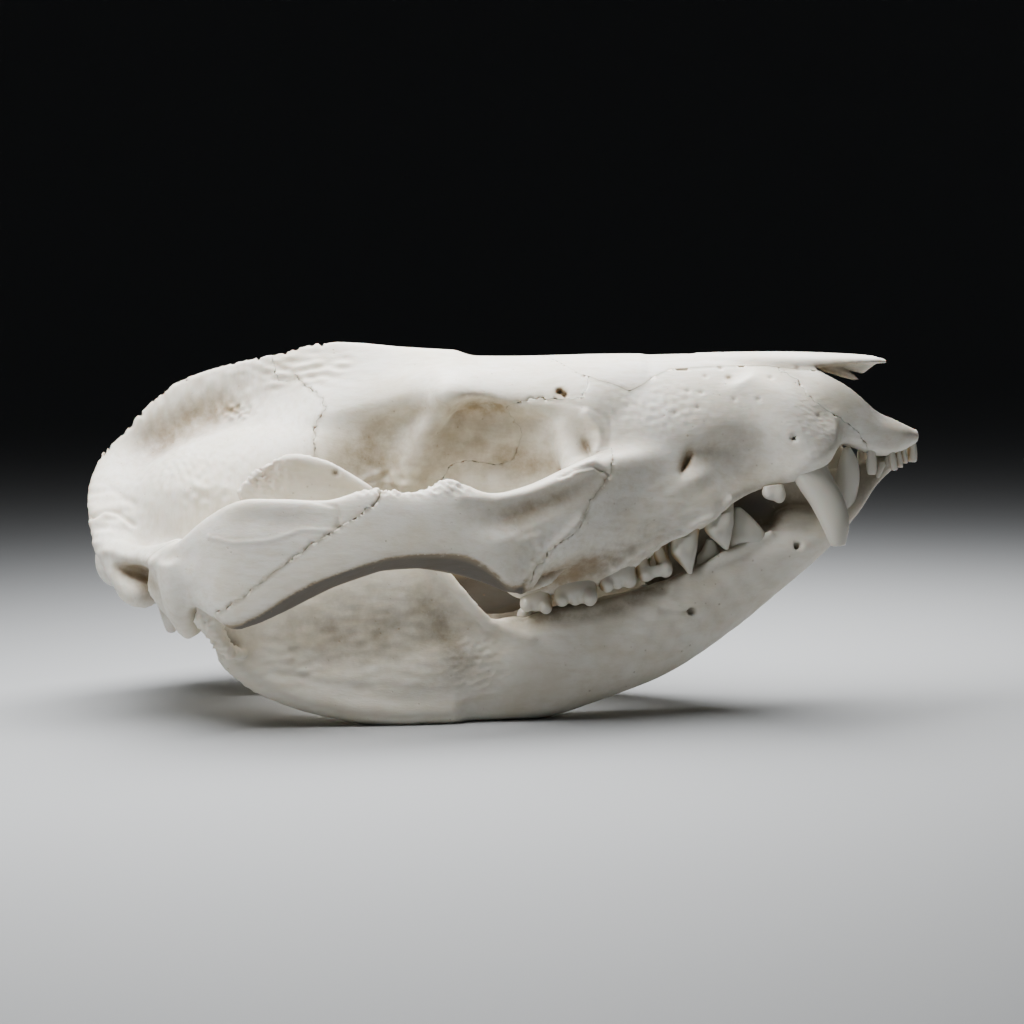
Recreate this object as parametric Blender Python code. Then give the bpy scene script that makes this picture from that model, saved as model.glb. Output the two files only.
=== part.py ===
"""Skull of an old male opossum with its jaw shut, life size, resting on the lower edges of the jaw.

The snout points along +X, the right side faces -Y, and the floor is z = 0. All sizes below are in
millimetres. Bones are lofts through named cross-sections. The right half is built first, and the
left one is its mirror image. Bones are parted along their sutures by thin gaps.
"""

from collections import namedtuple
from math import pi

import bmesh
import bpy
import numpy as np
from mathutils import Matrix, Vector

MM = 0.001
GAP = 0.3            # clear space between two bones
HALF_GAP = GAP / 2
REACH = 80.0         # half size of the blocks that bound a bone's region
KEEL = 0.4           # how much is planed off the lower edges of the jaw, where they rest
ROOT_DEPTH = 3.0     # how deep a tooth's root is sunk in its jaw
KEPT_SHARE = 0.66    # share of a finished bone's triangles that is kept

# A section across the skull: place, roof, floor, half width, height of the widest point, and how
# square its upper and lower halves are (2 is an ellipse).
Section = namedtuple("Section", "x roof floor half widest arch bed")

# A section of a plate or strut: its two edges and its half thickness.
Rib = namedtuple("Rib", "upper lower half")

# A pointed tooth: middle of its neck, tip, half length along the row and half width.
Cone = namedtuple("Cone", "neck tip length width")

# A cheek tooth: its place along the row, gum line, outer face, half length, half width, crown
# height, and its outer cusps as (place from the middle, height below the crown).
Molar = namedtuple("Molar", "x gum outer length width crown cusps")

CORE = [
    Section(64.6, 43.3, 41.9, 2.6, 42.6, 2.0, 2.0),
    Section(61.5, 44.8, 40.8, 4.9, 42.6, 2.4, 3.0),
    Section(58.0, 46.6, 40.2, 6.3, 42.8, 2.4, 3.4),
    Section(54.0, 50.0, 41.3, 7.6, 44.2, 2.4, 3.4),
    Section(50.0, 53.6, 41.0, 8.8, 44.5, 2.4, 3.2),
    Section(45.5, 54.9, 38.6, 10.0, 43.0, 2.4, 3.2),
    Section(40.0, 55.1, 37.2, 10.6, 42.0, 2.4, 3.2),
    Section(33.0, 55.1, 34.6, 11.2, 40.0, 2.4, 3.4),
    Section(26.0, 55.0, 31.0, 12.4, 38.0, 2.4, 3.6),
    Section(19.0, 54.8, 28.0, 13.4, 37.0, 2.4, 3.6),
    Section(13.5, 54.5, 26.0, 13.0, 38.5, 2.4, 3.0),
    Section(9.0, 54.2, 25.0, 10.8, 40.0, 2.4, 2.6),
    Section(3.0, 54.0, 24.6, 8.8, 40.0, 2.4, 2.4),
    Section(-5.0, 53.8, 24.4, 7.8, 40.0, 2.4, 2.4),
    Section(-12.0, 53.4, 24.4, 6.6, 40.0, 2.2, 2.2),
    Section(-18.0, 52.0, 24.2, 6.2, 39.0, 2.2, 2.2),
    Section(-23.0, 50.0, 23.4, 8.2, 36.5, 2.2, 2.2),
    Section(-29.0, 47.6, 21.6, 12.0, 33.5, 2.2, 2.2),
    Section(-35.0, 46.4, 20.0, 14.4, 32.0, 2.2, 2.2),
    Section(-42.0, 45.0, 19.0, 15.8, 31.0, 2.3, 2.3),
    Section(-49.0, 42.8, 18.8, 15.6, 30.0, 2.3, 2.4),
    Section(-54.5, 39.6, 19.2, 13.6, 29.0, 2.3, 2.5),
    Section(-58.2, 35.4, 20.4, 10.4, 27.5, 2.3, 2.4),
]

BROW = [
    Section(21.0, 54.2, 44.0, 8.0, 49.0, 2.0, 2.0),
    Section(14.0, 54.5, 41.0, 12.2, 46.2, 2.0, 2.0),
    Section(8.0, 54.5, 42.4, 11.4, 47.2, 1.9, 2.0),
    Section(2.0, 54.4, 44.6, 10.9, 48.2, 1.7, 2.0),
    Section(-4.0, 54.5, 46.2, 11.6, 48.6, 1.7, 2.0),
    Section(-8.6, 54.6, 46.8, 12.8, 49.4, 1.6, 2.0),
    Section(-11.5, 54.7, 46.6, 9.8, 50.2, 1.7, 2.0),
    Section(-16.0, 54.8, 46.0, 6.6, 50.6, 1.8, 2.0),
    Section(-22.0, 55.0, 46.0, 3.0, 51.0, 2.0, 2.0),
]

CREST = [
    Rib((-8.0, 0, 54.4), (-8.0, 0, 50.0), 1.8),
    Rib((-16.0, 0, 55.3), (-16.0, 0, 47.0), 1.5),
    Rib((-22.0, 0, 56.3), (-22.0, 0, 45.0), 1.3),
    Rib((-28.0, 0, 56.7), (-28.0, 0, 43.0), 1.2),
    Rib((-35.0, 0, 55.1), (-35.0, 0, 42.0), 1.2),
    Rib((-43.5, 0, 53.2), (-43.0, 0, 41.0), 1.2),
    Rib((-50.5, 0, 50.8), (-48.0, 0, 39.0), 1.3),
    Rib((-56.0, 0, 46.6), (-51.0, 0, 37.0), 1.6),
    Rib((-60.6, 0, 41.0), (-53.0, 0, 34.0), 2.1),
    Rib((-63.4, 0, 37.6), (-53.5, 0, 31.0), 2.3),
    Rib((-64.6, 0, 34.6), (-54.0, 0, 29.0), 2.0),
]

NECK_CREST = [
    Rib((-61.6, 1.5, 39.4), (-50.0, 0.0, 37.0), 2.2),
    Rib((-63.3, -3.5, 37.0), (-52.0, -5.0, 35.0), 1.8),
    Rib((-63.7, -8.0, 33.8), (-53.0, -9.0, 32.0), 1.4),
    Rib((-62.8, -12.5, 30.2), (-52.0, -11.5, 29.0), 1.3),
    Rib((-61.3, -16.0, 26.4), (-50.5, -13.0, 26.4), 1.5),
    Rib((-59.2, -18.4, 22.4), (-49.5, -13.5, 24.0), 2.0),
    Rib((-56.6, -18.8, 18.9), (-49.5, -13.0, 22.0), 2.2),
    Rib((-54.4, -17.2, 17.4), (-50.0, -12.0, 21.0), 1.8),
]

PAROCCIPITAL = [
    Rib((-53.4, -13.5, 23.0), (-48.8, -14.0, 23.0), 1.6),
    Rib((-52.4, -14.2, 18.0), (-48.8, -14.4, 18.0), 1.3),
    Rib((-51.4, -14.6, 14.6), (-49.2, -14.8, 14.6), 1.0),
    Rib((-50.8, -14.6, 13.2), (-49.6, -14.8, 13.2), 0.6),
]

PTERYGOID = [
    Rib((2.0, -5.0, 26.0), (2.0, -5.0, 21.6), 1.2),
    Rib((-8.0, -5.2, 26.0), (-8.0, -5.2, 20.6), 0.9),
    Rib((-16.0, -4.8, 26.0), (-16.5, -4.8, 19.4), 0.8),
    Rib((-21.0, -4.6, 25.0), (-22.5, -4.6, 18.8), 0.6),
    Rib((-27.0, -5.6, 25.0), (-27.0, -5.4, 21.6), 0.8),
]

# Centre and half sizes of rounded knobs on the underside of the braincase.
OCCIPITAL_CONDYLE = ((-59.6, -6.0, 23.4), (3.4, 3.2, 4.2))
EAR_BULB = ((-43.0, -10.0, 19.6), (5.6, 3.8, 4.0))
BRAIN_STEM_HOLE = ((-61.0, 0.0, 27.6), (9.0, 5.2, 3.8))
CHEEK_HOLE = ((28.6, -12.4, 38.4), (2.6, 3.4, 2.1))

ARCH = [
    Rib((-52.2, -21.0, 22.0), (-49.6, -21.0, 17.4), 1.5),
    Rib((-50.4, -24.0, 25.8), (-47.4, -24.0, 17.2), 1.9),
    Rib((-46.6, -28.4, 28.6), (-44.4, -28.4, 19.0), 1.9),
    Rib((-42.2, -31.8, 32.4), (-41.2, -31.8, 17.6), 1.7),
    Rib((-37.6, -33.2, 34.8), (-38.2, -33.2, 16.2), 1.6),
    Rib((-31.5, -33.6, 35.0), (-32.0, -33.4, 18.2), 1.6),
    Rib((-25.0, -33.0, 34.8), (-25.0, -33.0, 22.2), 1.6),
    Rib((-19.5, -31.8, 36.2), (-18.0, -31.8, 24.6), 1.7),
    Rib((-13.0, -30.0, 35.6), (-12.0, -30.0, 25.0), 1.9),
    Rib((-7.6, -28.0, 37.0), (-6.0, -28.2, 23.6), 2.1),
    Rib((-2.0, -25.8, 35.2), (0.4, -26.0, 20.6), 2.3),
    Rib((4.0, -23.0, 36.2), (4.6, -23.2, 20.6), 2.5),
    Rib((10.5, -19.6, 38.8), (9.6, -20.2, 23.0), 2.9),
    Rib((17.0, -15.4, 40.6), (15.0, -16.6, 26.0), 3.0),
    Rib((24.0, -11.4, 41.0), (23.0, -12.4, 30.0), 2.4),
]

GLENOID_SHELF = [
    Rib((-54.0, -12.0, 25.0), (-36.0, -12.0, 25.0), 2.6),
    Rib((-52.0, -18.0, 24.2), (-37.0, -18.0, 24.2), 2.2),
    Rib((-50.6, -23.0, 23.6), (-37.4, -23.0, 23.6), 2.0),
    Rib((-47.8, -28.0, 23.8), (-38.2, -28.0, 23.8), 2.0),
    Rib((-44.0, -31.0, 24.2), (-38.6, -31.0, 24.2), 1.6),
]

POSTGLENOID = [
    Rib((-48.4, -17.0, 25.0), (-48.4, -28.6, 25.0), 2.0),
    Rib((-47.6, -17.6, 19.6), (-47.6, -28.0, 19.6), 1.8),
    Rib((-46.4, -19.4, 15.4), (-46.4, -26.4, 15.4), 1.3),
    Rib((-45.8, -21.0, 13.8), (-45.8, -25.0, 13.8), 0.8),
]

GUM = [
    Rib((0.4, -14.0, 22.4), (0.4, -14.0, 19.8), 2.2),
    Rib((3.0, -14.6, 25.4), (3.0, -15.0, 19.0), 3.0),
    Rib((8.0, -14.8, 28.0), (8.0, -15.2, 20.2), 3.6),
    Rib((14.0, -14.4, 31.0), (14.0, -14.6, 22.0), 3.6),
    Rib((20.0, -12.8, 34.0), (20.0, -13.4, 24.3), 3.2),
    Rib((26.0, -11.0, 37.0), (26.0, -11.6, 28.4), 2.7),
    Rib((34.0, -9.4, 40.0), (34.2, -9.9, 33.0), 2.2),
    Rib((41.0, -8.8, 42.0), (41.2, -9.0, 35.2), 2.3),
    Rib((46.5, -8.7, 43.0), (46.8, -9.0, 36.6), 2.8),
    Rib((50.2, -8.0, 44.0), (49.6, -8.4, 38.6), 2.0),
]

CANINE_SWELLING = [
    Rib((50.6, -8.2, 41.4), (44.2, -8.8, 37.6), 3.0),
    Rib((47.6, -7.9, 45.0), (41.4, -8.5, 41.0), 3.2),
    Rib((43.6, -7.2, 49.0), (38.0, -7.6, 45.6), 3.2),
    Rib((38.6, -6.4, 51.4), (35.0, -6.8, 49.0), 2.4),
]

NASAL = [
    Section(59.7, 54.2, 53.5, 1.6, 53.8, 2.0, 2.0),
    Section(57.0, 54.9, 53.3, 3.4, 53.6, 2.2, 2.0),
    Section(51.0, 55.2, 52.9, 4.5, 53.3, 2.2, 2.0),
    Section(43.0, 55.4, 52.6, 4.8, 53.2, 2.4, 2.0),
    Section(33.0, 55.4, 52.6, 5.4, 53.2, 2.6, 2.0),
    Section(25.0, 55.3, 52.2, 7.8, 52.8, 2.6, 2.0),
    Section(19.5, 55.2, 51.8, 9.4, 52.4, 2.6, 2.0),
    Section(14.0, 55.0, 52.6, 6.2, 53.2, 2.4, 2.0),
    Section(8.0, 54.8, 53.4, 2.6, 54.0, 2.2, 2.0),
    Section(5.0, 54.7, 54.1, 1.0, 54.4, 2.0, 2.0),
]

# A thin broken plate that hangs below each nasal bone into the nose.
NASAL_PLATE = [
    Rib((50.0, -2.4, 54.2), (50.0, -2.4, 52.0), 0.35),
    Rib((51.6, -2.4, 54.2), (51.8, -2.2, 51.4), 0.35),
    Rib((53.4, -2.4, 54.2), (54.2, -2.0, 49.4), 0.35),
    Rib((55.0, -2.4, 54.2), (55.2, -2.0, 51.2), 0.35),
    Rib((57.6, -2.2, 54.2), (56.4, -2.0, 51.8), 0.35),
]

NOSE_OPENING = [
    Section(72.0, 60.0, 44.4, 4.0, 50.0, 3.0, 2.6),
    Section(62.0, 60.0, 43.4, 3.6, 50.0, 3.0, 2.6),
    Section(57.0, 60.0, 43.6, 4.8, 50.0, 3.0, 2.6),
    Section(52.0, 60.0, 44.2, 5.4, 49.5, 3.0, 2.6),
    Section(46.0, 52.2, 44.4, 4.6, 48.5, 2.4, 2.4),
    Section(38.0, 51.6, 43.0, 3.6, 48.0, 2.0, 2.0),
]

JAW_BODY = [
    Rib((60.9, -2.0, 39.8), (60.1, -1.4, 37.4), 1.6),
    Rib((57.0, -2.9, 37.6), (57.2, -1.8, 33.9), 2.6),
    Rib((52.6, -4.2, 33.6), (53.0, -2.4, 29.8), 3.8),
    Rib((47.0, -5.6, 30.0), (47.6, -2.9, 22.8), 4.2),
    Rib((41.0, -7.0, 27.8), (40.6, -3.9, 16.9), 4.2),
    Rib((34.0, -8.8, 24.8), (33.0, -6.2, 11.5), 4.0),
    Rib((26.0, -10.8, 21.0), (24.5, -9.0, 6.1), 3.9),
    Rib((16.0, -12.4, 17.6), (15.0, -12.0, 2.6), 3.9),
    Rib((7.0, -13.6, 16.2), (6.5, -14.2, 0.1), 3.9),
    Rib((-2.0, -15.4, 15.6), (-3.0, -16.0, -KEEL), 3.6),
    Rib((-10.0, -17.2, 12.0), (-11.0, -17.4, -KEEL), 2.8),
    Rib((-19.0, -18.6, 9.0), (-19.0, -18.6, 0.2), 2.2),
    Rib((-28.5, -19.6, 9.0), (-29.0, -19.6, 2.6), 2.0),
    Rib((-36.0, -20.8, 12.0), (-36.6, -20.4, 5.9), 2.0),
    Rib((-40.2, -22.2, 16.0), (-41.9, -22.0, 11.4), 2.1),
    Rib((-41.2, -24.0, 19.0), (-44.6, -24.0, 16.2), 2.1),
]

JAW_BRANCH = [
    Rib((2.0, -14.6, 15.6), (1.0, -14.6, 8.0), 1.8),
    Rib((-2.6, -15.6, 16.6), (-3.0, -15.6, 6.0), 1.6),
    Rib((-6.4, -16.8, 19.8), (-7.0, -16.8, 4.0), 1.4),
    Rib((-10.4, -18.0, 24.6), (-11.0, -17.6, 3.0), 1.2),
    Rib((-15.4, -19.2, 30.4), (-16.0, -18.6, 3.0), 1.1),
    Rib((-20.2, -20.2, 35.6), (-21.0, -19.4, 3.4), 1.0),
    Rib((-26.0, -21.0, 39.2), (-26.0, -20.0, 4.4), 1.0),
    Rib((-31.2, -21.4, 40.5), (-30.6, -20.6, 6.0), 0.9),
    Rib((-36.0, -21.7, 38.8), (-34.4, -21.2, 9.0), 0.9),
    Rib((-39.2, -21.9, 35.4), (-37.6, -21.7, 29.0), 0.8),
]

JAW_CONDYLE = [
    Rib((-42.6, -17.6, 18.8), (-42.6, -17.6, 16.4), 1.2),
    Rib((-42.4, -19.4, 19.8), (-42.4, -19.4, 15.8), 2.0),
    Rib((-42.4, -24.0, 20.2), (-42.4, -24.0, 15.2), 2.1),
    Rib((-42.8, -28.0, 19.8), (-42.8, -28.0, 15.0), 2.1),
    Rib((-43.0, -29.6, 18.6), (-43.0, -29.6, 15.8), 1.3),
]

JAW_ANGLE = [
    Rib((-14.0, -18.2, 2.0), (-14.0, -16.0, 1.6), 1.0),
    Rib((-22.0, -19.0, 3.0), (-22.0, -14.6, 2.2), 1.1),
    Rib((-30.0, -19.6, 5.0), (-30.0, -11.6, 3.8), 1.1),
    Rib((-37.0, -20.4, 8.4), (-37.0, -9.4, 6.6), 1.0),
    Rib((-41.0, -21.0, 11.6), (-41.6, -9.8, 9.6), 0.9),
    Rib((-43.0, -19.6, 12.8), (-44.0, -12.4, 11.6), 0.6),
]

# Sutures and other parting lines seen from the side, through (x, z) points from the top down.
CORONAL_SUTURE = [(-38.0, 62.0), (-35.0, 51.0), (-28.4, 45.8), (-30.2, 43.0), (-28.0, 36.0),
                  (-25.0, 30.0), (-23.0, 25.0), (-23.0, 12.0)]
ORBIT_SUTURE = [(13.0, 62.0), (10.0, 50.0), (7.0, 49.4), (0.6, 46.6), (3.2, 41.8), (1.2, 37.6),
                (-6.6, 37.4), (-9.4, 34.0), (-16.0, 32.0), (-23.0, 31.0)]
PALATE_END = (-23.0, 5.0)
MUZZLE_SUTURE = [(40.6, 62.0), (42.3, 52.8), (45.2, 51.2), (46.4, 48.8), (50.2, 46.1),
                 (53.8, 43.9), (56.3, 40.8), (56.6, 20.0)]
CHEEK_SUTURE = [(16.4, 60.0), (15.8, 37.9), (13.0, 34.2), (10.8, 29.6), (6.2, 25.2), (4.6, 23.6),
                (2.3, 20.2), (1.0, 10.0)]
ARCH_SUTURE = [(-15.0, 60.0), (-16.4, 37.0), (-18.6, 34.0), (-22.0, 31.9), (-27.6, 28.4),
               (-34.2, 23.5), (-37.6, 20.8), (-41.4, 18.4), (-44.0, 10.0)]

UPPER_MOLARS = [
    Molar(4.9, 19.6, -17.2, 2.5, 3.2, 1.8, ((-1.0, 1.2), (1.5, 1.4))),
    Molar(10.8, 21.2, -18.4, 3.4, 3.6, 2.4, ((-1.7, 1.8), (1.8, 1.8))),
    Molar(17.2, 23.4, -17.0, 3.0, 3.4, 2.2, ((-1.6, 1.9), (1.4, 1.8))),
    Molar(22.8, 26.4, -14.8, 2.7, 3.0, 2.4, ((-1.4, 2.4), (1.4, 2.2))),
]
LOWER_MOLARS = [
    Molar(5.8, 16.2, -14.8, 2.8, 2.2, 0.8, ((-1.2, 0.2), (1.3, 0.4))),
    Molar(12.2, 16.9, -14.4, 3.0, 2.3, 1.0, ((-1.3, 0.2), (1.4, 0.5))),
    Molar(18.8, 18.8, -13.6, 2.9, 2.2, 1.2, ((-1.3, 0.3), (1.3, 0.6))),
    Molar(25.4, 21.0, -12.6, 2.9, 2.1, 1.4, ((-1.3, 0.5), (1.3, 0.8))),
]
UPPER_CONES = [
    Cone((26.9, -12.0, 29.0), (28.4, -12.6, 21.9), 2.7, 1.6),
    Cone((32.6, -10.4, 32.4), (34.1, -11.2, 25.5), 2.7, 1.5),
    Cone((41.4, -9.4, 35.4), (41.8, -9.8, 32.2), 1.5, 1.0),
]
LOWER_CONES = [
    Cone((31.4, -9.6, 23.4), (31.7, -9.4, 28.2), 2.4, 1.5),
    Cone((37.6, -8.2, 26.2), (35.9, -8.4, 32.3), 2.9, 1.5),
    Cone((46.4, -6.6, 29.6), (46.6, -6.8, 32.4), 1.5, 1.0),
]
UPPER_CANINE = [
    Rib((47.8, -8.6, 43.0), (42.4, -8.6, 41.2), 1.9),
    Rib((49.6, -9.6, 37.4), (44.2, -9.6, 35.8), 1.9),
    Rib((51.6, -10.5, 33.6), (46.4, -10.5, 32.2), 1.7),
    Rib((52.6, -11.0, 30.0), (48.6, -11.0, 29.0), 1.4),
    Rib((52.5, -11.2, 26.4), (50.2, -11.2, 26.0), 0.8),
]
LOWER_CANINE = [
    Rib((54.6, -4.2, 29.6), (50.4, -4.2, 29.0), 1.7),
    Rib((56.0, -5.2, 34.6), (51.6, -5.2, 34.4), 1.6),
    Rib((55.3, -6.2, 38.0), (51.8, -6.2, 38.2), 1.2),
    Rib((53.6, -6.8, 40.9), (52.5, -6.8, 40.9), 0.5),
]
# Neck of each front tooth and how far its tip reaches down or up from it.
UPPER_INCISORS = [((63.3, -1.3, 41.9), 3.6), ((62.0, -3.0, 41.2), 3.6), ((60.7, -4.1, 40.8), 3.4),
                  ((59.4, -4.9, 40.6), 3.2), ((57.2, -5.8, 40.6), 3.8)]
LOWER_INCISORS = [((61.0, -0.9, 38.6), 2.0), ((60.4, -2.2, 38.4), 1.8), ((59.4, -3.2, 37.8), 1.6),
                  ((58.2, -4.0, 37.0), 1.5)]
INCISOR_HALF = 0.62
CUSP_HALF = 1.1      # half width of a cusp across the tooth row
CUSP_SHARE = 0.42    # half length of a cusp as a share of its tooth's

BONE = (0.80, 0.79, 0.74, 1.0)
BONE_SHADED = (0.72, 0.69, 0.61, 1.0)
BONE_ROUGHNESS = 0.55


def smoothed(rows, steps):
    """Rows of numbers with `steps` rows for each span, on a curve through the given rows."""
    rows = np.array(rows, dtype=float)
    padded = np.vstack([2 * rows[0] - rows[1], rows, 2 * rows[-1] - rows[-2]])
    spans = []
    for i in range(1, len(padded) - 2):
        p0, p1, p2, p3 = padded[i - 1:i + 3]
        for t in np.arange(steps) / steps:
            spans.append(0.5 * (2 * p1 + (p2 - p0) * t + (2 * p0 - 5 * p1 + 4 * p2 - p3) * t ** 2
                                + (3 * p1 - p0 - 3 * p2 + p3) * t ** 3))
    spans.append(rows[-1])
    return np.array(spans)


def rounded(angles, power):
    """Cosine and sine of a superellipse."""
    c, s = np.cos(angles), np.sin(angles)
    return np.sign(c) * np.abs(c) ** (2 / power), np.sign(s) * np.abs(s) ** (2 / power)


def section_rings(sections, sides, steps, grow):
    """Rings of points across the skull for a row of Sections."""
    angles = 2 * pi * (np.arange(sides) + 0.5) / sides
    rings = []
    for x, roof, floor, half, widest, arch, bed in smoothed(sections, steps):
        ring = []
        for up, power in ((True, arch), (False, bed)):
            across, high = rounded(angles, power)
            tall = roof + grow - widest if up else widest - floor + grow
            part = np.column_stack([np.full(sides, x), across * (half + grow), widest + high * tall])
            ring.append(part)
        upper = (np.sin(angles) > 0)[:, None]
        rings.append(np.where(upper, ring[0], ring[1]))
    rings[0][:, 0] += grow * np.sign(rings[0][0, 0] - rings[-1][0, 0])
    rings[-1][:, 0] -= grow * np.sign(rings[0][0, 0] - rings[-1][0, 0])
    return rings


def rib_rings(ribs, sides, steps, grow, power):
    """Rings of points round a plate or strut for a row of Ribs."""
    rows = smoothed([(*rib.upper, *rib.lower, rib.half) for rib in ribs], steps)
    upper, lower, half = rows[:, 0:3], rows[:, 3:6], rows[:, 6]
    middle = (upper + lower) / 2
    along = np.gradient(middle, axis=0)
    angles = 2 * pi * np.arange(sides) / sides
    across, thick = rounded(angles, power)
    rings = []
    for i, centre in enumerate(middle):
        chord = (upper[i] - lower[i]) / 2
        length = np.linalg.norm(chord)
        normal = np.cross(along[i], chord)
        normal /= np.linalg.norm(normal)
        edge = chord * (1 + grow / length)
        ring = centre + np.outer(across, edge) + np.outer(thick, normal * (half[i] + grow))
        rings.append(ring)
    first, last = along[0] / np.linalg.norm(along[0]), along[-1] / np.linalg.norm(along[-1])
    rings[0] = rings[0] - first * grow
    rings[-1] = rings[-1] + last * grow
    return rings


def solid(name, rings):
    """A closed object through the rings, with each end capped by a fan."""
    mesh = bmesh.new()
    loops = [[mesh.verts.new(Vector(p) * MM) for p in ring] for ring in rings]
    count = len(loops[0])
    for a, b in zip(loops, loops[1:]):
        for k in range(count):
            j = (k + 1) % count
            mesh.faces.new((a[k], a[j], b[j]))
            mesh.faces.new((a[k], b[j], b[k]))
    for loop, ring in ((loops[0], rings[0]), (loops[-1], rings[-1])):
        tip = mesh.verts.new(Vector(ring.mean(axis=0)) * MM)
        for k in range(count):
            mesh.faces.new((loop[k], loop[(k + 1) % count], tip))
    return finished(name, mesh)


def finished(name, mesh):
    """An object from a bmesh, with its faces turned outwards."""
    bmesh.ops.recalc_face_normals(mesh, faces=mesh.faces)
    data = bpy.data.meshes.new(name)
    mesh.to_mesh(data)
    mesh.free()
    made = bpy.data.objects.new(name, data)
    bpy.context.scene.collection.objects.link(made)
    return made


def skull_loft(name, sections, sides=20, steps=1, grow=0.0):
    return solid(name, section_rings(sections, sides, steps, grow))


def plate(name, ribs, sides=10, steps=1, grow=0.0, power=2.4):
    return solid(name, rib_rings(ribs, sides, steps, grow, power))


def knob(name, sizes, segments=10, rings=6):
    """An ellipsoid."""
    centre, half = sizes
    mesh = bmesh.new()
    bmesh.ops.create_uvsphere(mesh, u_segments=segments, v_segments=rings, radius=MM)
    bmesh.ops.scale(mesh, vec=half, verts=mesh.verts)
    bmesh.ops.translate(mesh, vec=Vector(centre) * MM, verts=mesh.verts)
    return finished(name, mesh)


def slab(name, outline, near, far):
    """A flat outline of (x, z) points, drawn out from y = near to y = far."""
    curve = bpy.data.curves.new(name, "CURVE")
    curve.dimensions = "2D"
    curve.fill_mode = "BOTH"
    curve.extrude = abs(far - near) / 2 * MM
    spline = curve.splines.new("POLY")
    spline.points.add(len(outline) - 1)
    spline.use_cyclic_u = True
    for point, (x, z) in zip(spline.points, outline):
        point.co = (x * MM, z * MM, 0, 1)
    drawn = bpy.data.objects.new(name, curve)
    bpy.context.scene.collection.objects.link(drawn)
    drawn.matrix_world = Matrix.Translation((0, (near + far) / 2 * MM, 0)) @ Matrix.Rotation(pi / 2, 4, "X")
    bpy.context.view_layer.update()
    view = bpy.context.evaluated_depsgraph_get()
    data = bpy.data.meshes.new_from_object(drawn.evaluated_get(view))
    data.transform(drawn.matrix_world)
    bpy.data.objects.remove(drawn)
    mesh = bmesh.new()
    mesh.from_mesh(data)
    bmesh.ops.remove_doubles(mesh, verts=mesh.verts, dist=0.00001)
    bmesh.ops.triangulate(mesh, faces=mesh.faces)
    return finished(name, mesh)


def combine(base, others, operation):
    """The base joined with, cut by or limited to the others, in one Boolean; the others are removed."""
    group = bpy.data.collections.new("pieces")
    bpy.context.scene.collection.children.link(group)
    for other in others:
        bpy.context.scene.collection.objects.unlink(other)
        group.objects.link(other)
    step = base.modifiers.new("combine", "BOOLEAN")
    step.operation = operation
    step.operand_type = "COLLECTION"
    step.collection = group
    step.solver = "EXACT"
    bpy.context.view_layer.update()
    view = bpy.context.evaluated_depsgraph_get()
    data = bpy.data.meshes.new_from_object(base.evaluated_get(view))
    base.modifiers.remove(step)
    base.data = data
    for other in others:
        bpy.data.objects.remove(other)
    bpy.data.collections.remove(group)
    return base


def fuse(pieces):
    return combine(pieces[0], pieces[1:], "UNION")


def cut(base, cutters):
    return combine(base, cutters, "DIFFERENCE")


def within(base, region):
    return combine(base, [region], "INTERSECT")


def lightened(piece):
    """The piece with fewer, larger triangles, mostly by closing up the slivers that the cuts leave."""
    step = piece.modifiers.new("lighten", "DECIMATE")
    step.decimate_type = "COLLAPSE"
    step.ratio = KEPT_SHARE
    step.use_collapse_triangulate = True
    bpy.context.view_layer.update()
    view = bpy.context.evaluated_depsgraph_get()
    data = bpy.data.meshes.new_from_object(piece.evaluated_get(view))
    piece.modifiers.remove(step)
    piece.data = data
    return piece


def largest_surface(piece):
    """Keeps only the largest closed surface."""
    mesh = bmesh.new()
    mesh.from_mesh(piece.data)
    unseen = set(mesh.faces)
    shells = []
    while unseen:
        shell = {unseen.pop()}
        to_visit = list(shell)
        while to_visit:
            face = to_visit.pop()
            for edge in face.edges:
                for other in edge.link_faces:
                    if other in unseen:
                        unseen.remove(other)
                        shell.add(other)
                        to_visit.append(other)
        shells.append(shell)
    largest = max(shells, key=lambda shell: sum(face.calc_area() for face in shell))
    bmesh.ops.delete(mesh, geom=[face for face in mesh.faces if face not in largest], context="FACES")
    bmesh.ops.triangulate(mesh, faces=mesh.faces)
    mesh.to_mesh(piece.data)
    mesh.free()
    return piece


def beside(suture, distance):
    """A suture moved sideways, towards the snout where the distance is positive."""
    line = np.array(suture)
    along = np.diff(line, axis=0)
    along /= np.linalg.norm(along, axis=1)[:, None]
    before, after = np.vstack([along[:1], along]), np.vstack([along, along[-1:]])
    normal = np.column_stack([-(before + after)[:, 1], (before + after)[:, 0]])
    normal /= (1 + (before * after).sum(axis=1))[:, None]
    return [tuple(point) for point in line + normal * distance]


def behind(suture):
    """The outline of all that lies behind a suture, clear of it by half a gap."""
    line = beside(suture, -HALF_GAP)
    return line + [(-REACH, line[-1][1]), (-REACH, line[0][1])]


def ahead(suture):
    """The outline of all that lies ahead of a suture, clear of it by half a gap."""
    line = beside(suture, HALF_GAP)
    return line + [(REACH, line[-1][1]), (REACH, line[0][1])]


def right_half():
    return slab("right_half", [(-REACH, -REACH), (REACH, -REACH), (REACH, REACH), (-REACH, REACH)],
                -REACH, -HALF_GAP)


def mirrored(piece, name):
    """A copy on the left side."""
    data = piece.data.copy()
    data.transform(Matrix.Scale(-1, 4, (0, 1, 0)))
    data.flip_normals()
    twin = bpy.data.objects.new(name, data)
    bpy.context.scene.collection.objects.link(twin)
    return twin


def mirrored_ribs(ribs):
    flip = (1, -1, 1)
    return [Rib(tuple(np.multiply(r.upper, flip)), tuple(np.multiply(r.lower, flip)), r.half) for r in ribs]


def mirrored_knob(sizes):
    (x, y, z), half = sizes
    return (x, -y, z), half


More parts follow.
